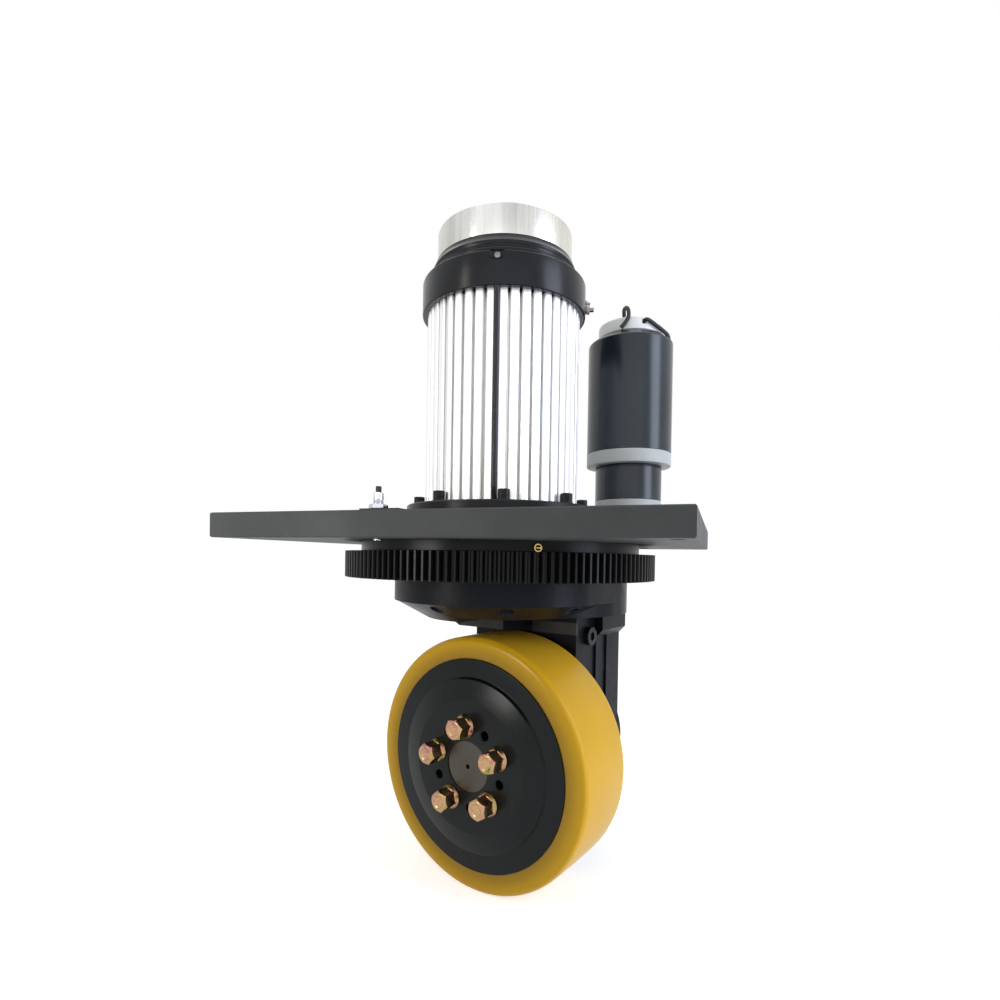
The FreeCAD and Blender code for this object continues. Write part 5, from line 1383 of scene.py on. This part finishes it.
@dataclass
class TractionMotor:
    """The upright motor: finned frame, band, neck, cap, rods, screws and studs."""

    store: Store
    near: float = 1 * MM
    fins: int = 44
    fin_parts: int = 5
    fin_root: float = 63 * MM
    fin_tip: float = 71 * MM
    tip_rounding: float = 2 * MM
    root_rounding: float = 0.6 * MM
    bore: float = 55 * MM
    rod_angle: float = -74
    face_angle: float = -67.6
    band_wall: float = 6 * MM
    band_edges: Triple = (1.4 * MM, 1.2 * MM, 0.6 * MM)
    web_drop: float = 15 * MM
    web_roundings: Span = (2 * MM, 3 * MM)
    web_bore: float = 14 * MM
    seat_radius: float = 23.6 * MM
    seat_wall: float = 5 * MM
    seat_half: float = 7 * MM
    seat_edge: float = 0.5 * MM
    notch_width: float = 11.8 * MM
    notch_high: float = 7.7 * MM
    notch_depth: float = 4 * MM
    notch_over: float = 5 * MM
    notch_edge: float = 1 * MM
    neck_radius: float = 65.8 * MM
    neck_wall: float = 5 * MM
    neck_slope: tuple[Point, ...] = ((1.1 * MM, 2 * MM), (1.6 * MM, 0.0))
    bead_levels: Span = (6.2 * MM, 12.6 * MM)
    bead_high: float = 1.105 * MM
    bead_width: float = 4.16 * MM
    bead_steps: int = 8
    cap_wall: float = 3 * MM
    cap_edge: float = 1.3 * MM
    cap_lip: Span = (0.5 * MM, 1.2 * MM)
    cap_roundings: Triple = (0.4 * MM, 0.2 * MM, 2 * MM)
    rod_radius: float = 2.65 * MM
    rod_circle: float = 73.2 * MM
    rod_thread: int = 10
    rod_pitch: float = 1 * MM
    rod_depth: float = 0.4 * MM
    screw_circle: float = 77 * MM
    screw_count: int = 8
    screw_seat: float = 3.2 * MM
    washer_bore: float = 3.1 * MM
    washer_radii: Span = (5.5 * MM, 5.0 * MM)
    washer_thick: float = 1.5 * MM
    washer_edge: float = 0.3 * MM
    plug_radius: float = 2.7 * MM
    plug_edge: float = 0.9 * MM
    plug_bulge: float = 0.2 * MM
    plug_inset: float = 3.98 * MM
    stud_gap: float = 0.02 * MM

    def build(self) -> None:
        """Make the pieces of the motor."""
        self.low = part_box("motor_frame")[0].z
        self.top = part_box("motor_frame")[1].z
        self.finned_frame()
        self.band()
        self.neck()
        self.cap()
        self.rods()
        self.screws()
        self.studs()

    def finned_frame(self) -> None:
        """An extruded tube whose fins are drawn outwards and rounded at their tips."""
        parts = self.fin_parts
        low, high = self.low, self.top
        outline = [(self.bore, low), (self.fin_root, low), (self.fin_root, high), (self.bore, high)]
        piece = turned("finned_extrusion", outline, self.fins * parts)
        slice_angle = 2 * math.pi / (self.fins * parts)
        middle = (self.fin_root + self.fin_tip) / 2

        def slices(point: Vector) -> float:
            """The angle of a point around the tube, in slices."""
            return math.atan2(point.y, point.x) % (2 * math.pi) / slice_angle

        def in_fin(centre: Vector, normal: Vector) -> bool:
            """Whether a face of the tube is one of the four of each five that carry a fin."""
            outside = centre.xy.length > self.fin_root - self.near and abs(normal.z) < 0.5
            return outside and int(slices(centre)) % parts > 0

        def fin_side(a: Vector, b: Vector) -> bool:
            """Whether an edge is upright and borders the side of a fin."""
            return abs(a.z - b.z) >= self.near and round(slices(a)) % parts in (0, 1)

        pick_faces(piece, in_fin)
        reach = self.fin_tip - self.fin_root
        bpy.ops.mesh.extrude_region_shrink_fatten(TRANSFORM_OT_shrink_fatten={"value": reach})
        close()
        pick_edges(piece, lambda a, b: fin_side(a, b) and a.xy.length >= middle)
        bpy.ops.mesh.bevel(offset=self.tip_rounding, segments=5, profile=0.5, clamp_overlap=True)
        close()
        pick_edges(piece, lambda a, b: fin_side(a, b) and self.bore + self.near < a.xy.length < middle)
        bpy.ops.mesh.bevel(offset=self.root_rounding, segments=3, profile=0.5, clamp_overlap=True)
        close()
        smooth(piece, Crease.CAST)
        turn = Matrix.Rotation(math.radians(self.rod_angle) - slice_angle / 2, 4, "Z")
        self.store.fit(settle(piece, turn), "fin_aluminium", Body.ROOT, "motor_frame")

    def band(self) -> None:
        """The end bell: a glossy band with a notch and a web that carries the bearing."""
        low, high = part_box("end_bell")
        radius = (high.x - low.x) / 2
        top = high.z
        web = top - self.web_drop
        inner = radius - self.band_wall
        seat, half = self.seat_radius, self.seat_half
        foot_edge, top_edge, inner_edge = self.band_edges
        corners = [
            (radius, low.z, foot_edge),
            (radius, top, top_edge),
            (self.web_bore, top, self.seat_edge),
            (self.web_bore, web + half, 0),
            (seat, web + half, 0),
            (seat, web - half, self.seat_edge),
            (seat + self.seat_wall, web - half, self.seat_edge),
            (seat + self.seat_wall, web, self.web_roundings[0]),
            (inner, web, self.web_roundings[1]),
            (inner, low.z, inner_edge),
        ]
        piece = lathe("end_band", corners, 4, Steps.MOTOR)
        side, over = self.notch_width / 2, self.notch_over
        deep = (radius - self.notch_depth, -side, top - self.notch_high)
        notch = block("notch", deep, (radius + over, side, top + over))
        soften(notch, self.notch_edge)
        settle(notch, Matrix.Rotation(math.radians(self.rod_angle), 4, "Z"))
        boolean(piece, notch, "DIFFERENCE")
        self.store.fit(smooth(piece), "bell_black", Body.ROOT, "end_bell")

    def neck(self) -> None:
        """The brake housing between band and cap, with two rolled beads."""
        low, high = (corner.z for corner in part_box("brake_housing"))
        inner = self.neck_radius - self.neck_wall
        points: list[Point] = [(self.neck_radius, low)]
        for level in self.bead_levels:
            for step in range(self.bead_steps + 1):
                share = step / self.bead_steps
                bulge = self.bead_high * math.sin(math.pi * share)
                points.append((self.neck_radius + bulge, low + level + (share - 0.5) * self.bead_width))
        points += [(self.neck_radius - inset, high - drop) for inset, drop in self.neck_slope]
        points += [(inner, high), (inner, low)]
        piece = turned("brake_shell", points, Steps.MOTOR)
        self.store.fit(smooth(piece), "bell_black", Body.ROOT, "brake_housing")

    def cap(self) -> None:
        """The encoder cap: a drawn cup with a fine chamfer and a rolled lower lip."""
        low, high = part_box("encoder_cap")
        radius = (high.x - low.x) / 2
        wall = self.cap_wall
        inset, rise = self.cap_lip
        lip, sharp, inner = self.cap_roundings
        corners = [
            (0, high.z, 0),
            (radius, high.z, self.cap_edge),
            (radius, low.z + rise, lip),
            (radius - inset, low.z, sharp),
            (radius - wall, low.z, lip),
            (radius - wall, high.z - wall, inner),
            (0, high.z - wall, 0),
        ]
        piece = lathe("encoder_cup", corners, 4, Steps.MOTOR)
        self.store.fit(smooth(piece), "cap_steel", Body.ROOT, "encoder_cap")

    def rods(self) -> None:
        """Two tie rods, threaded at their feet."""
        low, high = (corner.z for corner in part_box("tie_rods"))
        radius, pitch = self.rod_radius, self.rod_pitch
        thread_end = low + (self.rod_thread + 1) * pitch
        points = [
            (0, low),
            (radius, low),
            *threaded(radius, radius - self.rod_depth, low, pitch, self.rod_thread),
            (radius, thread_end),
            (radius, high),
            (0, high),
        ]
        rod = smooth(turned("rod", points, Steps.ROD), Crease.CAST)
        piece = copies("tie_rods_threaded", rod, around(self.rod_circle, 2, self.rod_angle))
        self.store.fit(piece, "rod_black", Body.ROOT, "tie_rods")

    def screws(self) -> None:
        """Eight socket head screws on washers around the motor's foot."""
        low, high = (corner.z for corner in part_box("flange_screws"))
        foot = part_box("motor_flange")[1].z
        seat = foot + self.screw_seat
        screw = CapScrew(high - seat, seat - low).build()
        settle(screw, Matrix.Translation(Vector((0, 0, seat))))
        wide, narrow = self.washer_radii
        edge, step = self.washer_edge, foot + self.washer_thick
        corners = [
            (self.washer_bore, foot, 0),
            (wide, foot, edge),
            (wide, step, edge),
            (narrow, step, 0),
            (narrow, seat, edge),
            (self.washer_bore, seat, 0),
        ]
        washer = smooth(lathe("washer", corners, 2, Steps.SCREW))
        stack = joined("screw_stack", [screw, washer])
        places = around(self.screw_circle, self.screw_count, self.face_angle)
        piece = copies("foot_screws", stack, places)
        self.store.fit(piece, "black_screws", Body.ROOT, "flange_screws")

    def studs(self) -> None:
        """The plug in the band's notch and two terminal studs with their nuts."""
        band_low, band_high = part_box("end_bell")
        radius = (band_high.x - band_low.x) / 2
        level = band_high.z - self.notch_high / 2
        size = self.plug_radius
        corners = [(0, 0, 0), (size, 0, 0), (size, size, self.plug_edge), (0, size + self.plug_bulge, 0)]
        plug = lathe("plug", corners, 3, Steps.SCREW)
        made = [self.aimed(plug, self.rod_angle, radius - self.plug_inset, level)]
        for stud in (
            Stud(angle=20.8, level=18.5 * MM, size=3.0 * MM, reach=5 * MM),
            Stud(angle=17.5, level=11 * MM, size=4.2 * MM, reach=8 * MM),
        ):
            height = band_low.z + stud.level
            made.append(self.aimed(stud.build(), stud.angle, radius + self.stud_gap, height))
        piece = smooth(joined("terminal_hardware", made))
        self.store.fit(piece, "stud_metal", Body.ROOT, "terminal_studs")

    def aimed(self, piece: bpy.types.Object, angle: float, reach: float, level: float) -> bpy.types.Object:
        """Turn a piece drawn upwards so that it points out of the motor at an angle."""
        turn = Matrix.Rotation(math.radians(angle), 4, "Z")
        outward = Matrix.Rotation(math.radians(90), 4, "Y")
        return settle(piece, turn @ Matrix.Translation(Vector((reach, 0, level))) @ outward)


@dataclass(frozen=True)
class Stud:
    """A terminal stud with its washer and nut, drawn upwards from the band."""

    angle: float
    level: float
    size: float
    reach: float
    washer: float = 0.6 * MM
    nut_flats: float = 1.8
    nut_edge: float = 0.3 * MM
    tip_edge: float = 0.5 * MM

    def build(self) -> bpy.types.Object:
        """Make the stud."""
        nut = hexagon("nut", self.size * self.nut_flats, self.washer, self.reach / 2)
        soften(nut, self.nut_edge, 2)
        outline = [(0, 0), (self.size, 0), (self.size, self.washer), (0, self.washer)]
        washer = turned("washer", outline, Steps.SCREW)
        thin = self.size / 2
        corners = [(0, 0, 0), (thin, 0, 0), (thin, self.reach, self.tip_edge), (0, self.reach, 0)]
        return joined("stud", [nut, washer, lathe("tip", corners, 3, Steps.ROD)])


@dataclass(frozen=True)
class CapScrew:
    """A socket head screw with its seat at z 0 and its head up."""

    head_high: float
    reach: float
    radius: float = 3 * MM
    head_radius: float = 5 * MM
    end_edge: float = 0.3 * MM
    seat_edge: float = 0.2 * MM
    head_edge: float = 0.6 * MM
    key_flats: float = 1.7
    key_floor: float = 0.4
    key_over: float = 1 * MM

    def build(self) -> bpy.types.Object:
        """Make the screw."""
        corners = [
            (0, -self.reach, 0),
            (self.radius, -self.reach, self.end_edge),
            (self.radius, -self.seat_edge, 0),
            (self.head_radius, 0, self.seat_edge),
            (self.head_radius, self.head_high, self.head_edge),
            (0, self.head_high, 0),
        ]
        body = lathe("screw_body", corners, 3, Steps.SOCKET)
        floor = self.head_high * self.key_floor
        top = self.head_high + self.key_over
        key = hexagon("key", self.radius * self.key_flats, floor, top)
        return smooth(boolean(body, key, "DIFFERENCE"))


# Steering motor


@dataclass
class SteeringMotor:
    """The slim motor on its reducer, with its end cap and two short leads."""

    store: Store
    shell_wall: float = 4 * MM
    shell_edge: float = 0.6 * MM
    slope_high: float = 8 * MM
    slope_roundings: Triple = (3 * MM, 1.5 * MM, 2 * MM)
    slope_gap: float = 0.5 * MM
    lid_bore: float = 7 * MM
    lid_thick: float = 5 * MM
    lid_reach: float = 3 * MM
    lid_rounding: float = 1 * MM
    inner_drop: float = 3 * MM
    cap_wall: float = 2.5 * MM
    cap_step: float = 0.6 * MM
    cap_panel: Span = (6 * MM, 5 * MM)
    cap_edges: Triple = (0.5 * MM, 0.4 * MM, 0.3 * MM)
    cap_rounding: float = 2.2 * MM
    cap_inner: float = 1 * MM
    lead: float = 2.0 * MM
    lead_gap: float = 0.3 * MM
    slot_angle: float = -58
    slot_reach: Span = (5 * MM, 3 * MM)
    slot_high: Span = (8.5 * MM, 3 * MM)

    def build(self) -> None:
        """Make the pieces of the steering motor."""
        self.place = drive_place()
        self.rings()
        self.shell()
        self.cap()
        self.leads()

    def ring(self, name: str, node: str, slot: str, bore: float, fillet: float) -> None:
        """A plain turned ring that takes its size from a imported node.

        Args:
            name: The new piece's name.
            node: The node that it stands for.
            slot: Its finish.
            bore: Its inner radius.
            fillet: The rounding of its outer edges.
        """
        low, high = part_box(node)
        radius = (high.x - low.x) / 2
        corners = [(bore, low.z, 0), (radius, low.z, fillet), (radius, high.z, fillet), (bore, high.z, 0)]
        piece = smooth(lathe(name, corners, 4))
        self.store.fit(settle(piece, self.place), slot, Body.ROOT, node)

    def rings(self) -> None:
        """The base, the reducer and the adapter."""
        self.ring("base_ring", "reducer_base", "ring_grey", bore=20.1 * MM, fillet=0.8 * MM)
        self.ring("reducer_tube", "reducer_shell", "motor_paint", bore=30.1 * MM, fillet=0.6 * MM)
        self.ring("adapter_flange", "adapter_ring", "ring_grey", bore=14.1 * MM, fillet=1.0 * MM)

    def shell(self) -> None:
        """The painted motor tube with its sloping shoulder."""
        low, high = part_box("steering_motor_shell")
        radius = (high.x - low.x) / 2
        cap_low, cap_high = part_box("brush_cap")
        cap_radius = (cap_high.x - cap_low.x) / 2
        edge = high.z - self.slope_high
        lid = high.z - self.lid_thick
        foot, top, inner = self.slope_roundings
        corners = [
            (radius - self.shell_wall, low.z, 0),
            (radius, low.z, self.shell_edge),
            (radius, edge, foot),
            (cap_radius + self.slope_gap, high.z, top),
            (self.lid_bore, high.z, 0),
            (self.lid_bore, lid, 0),
            (cap_radius - self.lid_reach, lid, self.lid_rounding),
            (radius - self.shell_wall, edge - self.inner_drop, inner),
        ]
        piece = settle(smooth(lathe("motor_tube", corners, 5, Steps.MOTOR)), self.place)
        self.store.fit(piece, "motor_paint", Body.ROOT, "steering_motor_shell")

    def cap(self) -> None:
        """The moulded end cap with a rounded rim and a slot for one lead."""
        low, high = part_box("brush_cap")
        radius = (high.x - low.x) / 2
        wall = self.cap_wall
        top, rim = high.z, high.z - self.cap_step
        panel, groove = self.cap_panel
        panel_edge, groove_edge, foot_edge = self.cap_edges
        corners = [
            (0, top, 0),
            (radius - panel, top, panel_edge),
            (radius - groove, rim, groove_edge),
            (radius, rim, self.cap_rounding),
            (radius, low.z, foot_edge),
            (radius - wall, low.z, 0),
            (radius - wall, top - wall, self.cap_inner),
            (0, top - wall, 0),
        ]
        piece = lathe("end_cap", corners, 5)
        half = self.lead + self.lead_gap
        inward, outward = self.slot_reach
        below, above = self.slot_high
        slot = block("slot", (radius - inward, -half, top - below), (radius + outward, half, top + above))
        settle(slot, Matrix.Rotation(math.radians(self.slot_angle), 4, "Z"))
        boolean(piece, slot, "DIFFERENCE")
        self.store.fit(settle(smooth(piece), self.place), "cap_white", Body.ROOT, "brush_cap")

    def leads(self) -> None:
        """Two short leads, one over the rim of the cap and one out of its slot along the shoulder."""
        low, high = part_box("brush_cap")
        rim = (high.x - low.x) / 2
        shoulder = low.z
        top = high.z

        def at(angle: float, past_rim: float, level: float) -> Vector:
            """A point at an angle in degrees, at a distance in millimetres outside the rim."""
            turn = math.radians(angle)
            reach = rim + past_rim * MM
            return Vector((reach * math.cos(turn), reach * math.sin(turn), level))

        over = [
            at(-100, -13, top - 0.5 * MM),
            at(-101, -13, top + 6 * MM),
            at(-97, -6, top + 9.4 * MM),
            at(-87, 2, top + 8 * MM),
            at(-84, 3.5, top - 2 * MM),
            at(-90, 3.4, shoulder + 5 * MM),
            at(-97, 3.2, shoulder + 0.5 * MM),
        ]
        hugging = [
            at(self.slot_angle, -4, top - 5 * MM),
            at(-57, 1.5, top - 4.6 * MM),
            at(-52, 2.4, top - 5 * MM),
            at(-40, 2.8, shoulder + 4.8 * MM),
            at(-22, 4, shoulder + 1.2 * MM),
            at(-2, 6, shoulder - 0.2 * MM),
            at(14, 6.4, shoulder - 0.4 * MM),
        ]
        pair = [tube("lead_over", over, self.lead), tube("lead_along", hugging, self.lead)]
        piece = joined("short_leads", pair)
        self.store.fit(settle(piece, self.place), "lead_rubber", Body.ROOT, "motor_leads")


# Homing sensor


@dataclass
class Sensor:
    """The threaded proximity sensor in its bracket."""

    store: Store
    pitch: float = 1.0 * MM
    depth: float = 0.45 * MM
    barrel_top: float = 16 * MM
    collar_high: float = 6 * MM
    collar_foot: float = 0.4 * MM
    collar_edge: float = 0.6 * MM
    tip_gap: float = 0.02 * MM
    tip_share: float = 0.56
    tip_high: float = 5 * MM
    tip_edges: Span = (0.2 * MM, 0.9 * MM)
    nut_inner: float = 0.48
    nut_outer: float = 0.585
    nut_chamfer: float = 0.7 * MM
    nut_edge: float = 0.2 * MM

    def build(self) -> None:
        """Make the sensor's threaded barrel, its dark tip and its nut."""
        low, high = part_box("home_sensor")
        centre = (low + high) / 2
        place = Matrix.Translation(Vector((centre.x, centre.y, 0)))
        radius = (high.x - low.x) / 2
        barrel = smooth(self.barrel(radius, low.z), Crease.FINE)
        self.store.fit(settle(barrel, place), "sensor_nickel", Body.ROOT, "home_sensor")
        self.store.fit(settle(smooth(self.tip(radius)), place), "lead_rubber", Body.ROOT)
        nut_low, nut_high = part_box("sensor_nuts")
        nut = smooth(self.nut(nut_high.y - nut_low.y, nut_low.z, nut_high.z))
        self.store.fit(settle(nut, place), "sensor_nickel", Body.ROOT, "sensor_nuts")

    def barrel(self, radius: float, bottom: float) -> bpy.types.Object:
        """The barrel: thread up to a plain collar."""
        collar = self.barrel_top - self.collar_high
        root = radius - self.depth
        count = int((collar - bottom) / self.pitch)
        points = [
            (0, bottom),
            (root, bottom),
            *threaded(root, radius, bottom, self.pitch, count),
            (root, collar),
            (radius, collar + self.collar_foot),
            (radius, self.barrel_top - self.collar_edge),
            (radius - self.collar_edge, self.barrel_top),
            (0, self.barrel_top),
        ]
        return turned("threaded_barrel", points, Steps.BARREL)

    def tip(self, radius: float) -> bpy.types.Object:
        """The dark sensing tip on the barrel."""
        start = self.barrel_top + self.tip_gap
        end = start + self.tip_high
        thin = radius * self.tip_share
        foot, top = self.tip_edges
        corners = [(0, start, 0), (thin, start, foot), (thin, end, top), (0, end, 0)]
        return lathe("sensor_tip", corners, 4, Steps.SCREW)

    def nut(self, flats: float, bottom: float, top: float) -> bpy.types.Object:
        """The hexagon nut with chamfered corners."""
        inner, outer = flats * self.nut_inner, flats * self.nut_outer
        outline = [
            (0, bottom),
            (inner, bottom),
            (outer, bottom + self.nut_chamfer),
            (outer, top - self.nut_chamfer),
            (inner, top),
            (0, top),
        ]
        nut = hexagon("hex_nut", flats, bottom, top)
        boolean(nut, turned("dome", outline, Steps.BARREL), "INTERSECT")
        return soften(nut, self.nut_edge, 2, Crease.FINE)


# Gearbox leg


@dataclass
class Leg:
    """The cast housing and its rear cover, with rounded cast edges."""

    store: Store
    merge: float = 0.001 * MM
    flat_within: float = 2

    def build(self) -> None:
        """Make the two castings."""
        self.casting("leg_casting", "gear_housing", 1.6 * MM)
        self.casting("cover_casting", "rear_cover", 1.4 * MM)

    def casting(self, name: str, node: str, rounding: float) -> None:
        """A casting with rounded edges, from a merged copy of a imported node.

        Args:
            name: The new piece's name.
            node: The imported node.
            rounding: The width of its rounded edges.
        """
        only(frame["nodes"][node])
        bpy.ops.object.duplicate(linked=False)
        piece = bpy.context.active_object
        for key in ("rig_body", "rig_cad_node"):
            del piece[key]
        bpy.ops.object.parent_clear(type="CLEAR_KEEP_TRANSFORM")
        piece.name = name
        piece.data.name = name
        edit(piece)
        bpy.ops.mesh.remove_doubles(threshold=self.merge)
        bpy.ops.mesh.dissolve_limited(angle_limit=math.radians(self.flat_within))
        close()
        soften(piece, rounding)
        modify(smooth(piece, Crease.CAST), "WEIGHTED_NORMAL", keep_sharp=True)
        self.store.fit(piece, "housing_cast", Body.STEERED, node)


# Studio


def seen_rays(tree: bpy.types.NodeTree) -> bpy.types.NodeSocket:
    """Tell the rays that see the backdrop from the ones that only carry its light.

    Args:
        tree: The node tree of a material or the world.

    Returns:
        A socket that is 1 for camera, glossy and transmission rays.
    """
    path = tree.nodes.new("ShaderNodeLightPath")
    seen = path.outputs["Is Camera Ray"]
    for other in ("Is Glossy Ray", "Is Transmission Ray"):
        either = tree.nodes.new("ShaderNodeMath")
        either.operation = "MAXIMUM"
        tree.links.new(seen, either.inputs[0])
        tree.links.new(path.outputs[other], either.inputs[1])
        seen = either.outputs[0]
    return seen


@dataclass(frozen=True)
class Lamp:
    """An area lamp, placed as the camera sees it: to the right, away from it and up."""

    name: str
    right: float
    away: float
    up: float
    size: Span
    power: float
    colour: Colour = (1.0, 1.0, 1.0)


@dataclass(frozen=True)
class Studio:
    """Camera, lamps, floor and backdrop."""

    focal_pixels: float = 577.7
    image_side: float = 1000
    sensor: float = 36
    nearest: float = 0.02
    eye: Triple = (0.1946, -0.5123, -0.0337)
    heading: float = 20.8
    pitch: float = 0.011
    roll: float = 0.016
    lift: float = 65.15
    sky: float = 0.38
    floor_glow: float = 0.55
    far_glow: float = 0.7
    fade: Span = (0.4, 1.6)
    floor_size: float = 12
    floor_colour: Colour = (0.9, 0.9, 0.9)
    floor_roughness: float = 0.9
    target: Triple = (0, 0, -0.05)
    lights: tuple[Lamp, ...] = (
        Lamp("window", 1.1, -0.5, 0.25, (0.5, 1.3), 12.0, (0.72, 0.80, 1.0)),
        Lamp("lantern", -0.88, -0.7, 0.35, (0.07, 0.8), 2.2, (1.0, 0.94, 0.85)),
        Lamp("ceiling", 0.0, 0.1, 1.25, (1.4, 1.4), 7.0),
        Lamp("wheel_lamp", -0.36, -0.3, 0.02, (0.15, 0.15), 0.5, (1.0, 0.97, 0.92)),
        Lamp("front", 0.0, -1.3, 0.3, (1.6, 1.2), 3.0),
    )

    def build(self) -> None:
        """Set the stage."""
        self.camera()
        self.floor()
        self.world()
        self.lamps()
        bpy.context.scene.view_settings.view_transform = "Standard"

    def aim(self) -> tuple[Vector, Vector]:
        """The level directions to the right of the camera and away from it."""
        turn = math.radians(self.heading)
        return Vector((math.cos(turn), math.sin(turn), 0)), Vector((-math.sin(turn), math.cos(turn), 0))

    def camera(self) -> None:
        """The camera at the photograph's viewing angle."""
        right, away = self.aim()
        forward = away * math.cos(self.pitch) - Vector((0, 0, math.sin(self.pitch)))
        up = right.cross(forward)
        tilted = up * math.cos(self.roll) - right * math.sin(self.roll)
        side = forward.cross(tilted)
        lens = bpy.data.cameras.new("camera")
        lens.lens = self.focal_pixels / self.image_side * self.sensor
        lens.sensor_width = self.sensor
        lens.shift_y = self.lift / self.image_side
        lens.clip_start = self.nearest
        view = bpy.data.objects.new("camera", lens)
        view.matrix_world = Matrix.Translation(Vector(self.eye)) @ (
            Matrix((side, tilted, -forward)).transposed().to_4x4()
        )
        bpy.context.scene.collection.objects.link(view)
        bpy.context.scene.camera = view

    def floor(self) -> None:
        """A plain pale floor, flat, whose glow for seen rays rises into the distance."""
        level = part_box("tyre")[0].z
        deselect()
        bpy.ops.mesh.primitive_plane_add(size=self.floor_size, location=(0, 0, level))
        piece = christen("floor")
        graph = Graph("floor")
        matt = {"Roughness": self.floor_roughness, "Specular IOR Level": 0.0}
        shader = graph.node(
            "ShaderNodeBsdfPrincipled", {}, {"Base Color": (*self.floor_colour, 1)} | matt
        )
        distance = graph.along(Vector(), Vector((0, 0, 1)))[1]
        glow = self.floor_glow + distance.between(*self.fade) * (self.far_glow - self.floor_glow)
        strength = Value(graph, seen_rays(graph.tree)) * glow
        lit = graph.node("ShaderNodeEmission", {}, {"Color": (1, 1, 1, 1), "Strength": strength})
        both = graph.node("ShaderNodeAddShader", {}, {0: shader.outputs[0], 1: lit.outputs[0]})
        graph.node("ShaderNodeOutputMaterial", {}, {"Surface": both.outputs[0]})
        piece.data.materials.append(graph.material)

    def world(self) -> None:
        """White where it is seen, also in gloss, and a softer sky for all other light."""
        world = bpy.data.worlds.new("backdrop")
        world.use_nodes = True
        bpy.context.scene.world = world
        tree = world.node_tree
        tree.nodes.clear()
        strength = tree.nodes.new("ShaderNodeMix")
        strength.inputs[2].default_value = self.sky
        strength.inputs[3].default_value = 1.0
        tree.links.new(seen_rays(tree), strength.inputs[0])
        shade = tree.nodes.new("ShaderNodeBackground")
        shade.inputs["Color"].default_value = (1, 1, 1, 1)
        tree.links.new(strength.outputs[0], shade.inputs["Strength"])
        out = tree.nodes.new("ShaderNodeOutputWorld")
        tree.links.new(shade.outputs[0], out.inputs["Surface"])

    def lamps(self) -> None:
        """A cool window on the right, a warm one on the left and a broad light above."""
        right, away = self.aim()
        up = Vector((0, 0, 1))
        for row in self.lights:
            offset = right * row.right + away * row.away + up * row.up
            light = bpy.data.lights.new(row.name, "AREA")
            light.shape = "RECTANGLE"
            light.size, light.size_y = row.size
            light.energy = row.power
            light.color = row.colour
            lamp = bpy.data.objects.new(row.name, light)
            lamp.location = Vector(self.target) + offset
            lamp.rotation_euler = (-offset).to_track_quat("-Z", "Y").to_euler()
            bpy.context.scene.collection.objects.link(lamp)


def main() -> None:
    """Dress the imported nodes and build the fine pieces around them."""
    logging.basicConfig(level=logging.INFO, format="%(name)s: %(message)s")
    Studio().build()
    store = Store()
    for slot, nodes in NODE_SLOTS.items():
        for node in nodes:
            store.dress(frame["nodes"][node], slot)
    for assembly in (Wheel, TractionMotor, SteeringMotor, Sensor, Leg):
        assembly(store).build()
        log.info("%s done", assembly.__name__)


if __name__ == "__main__":
    main()
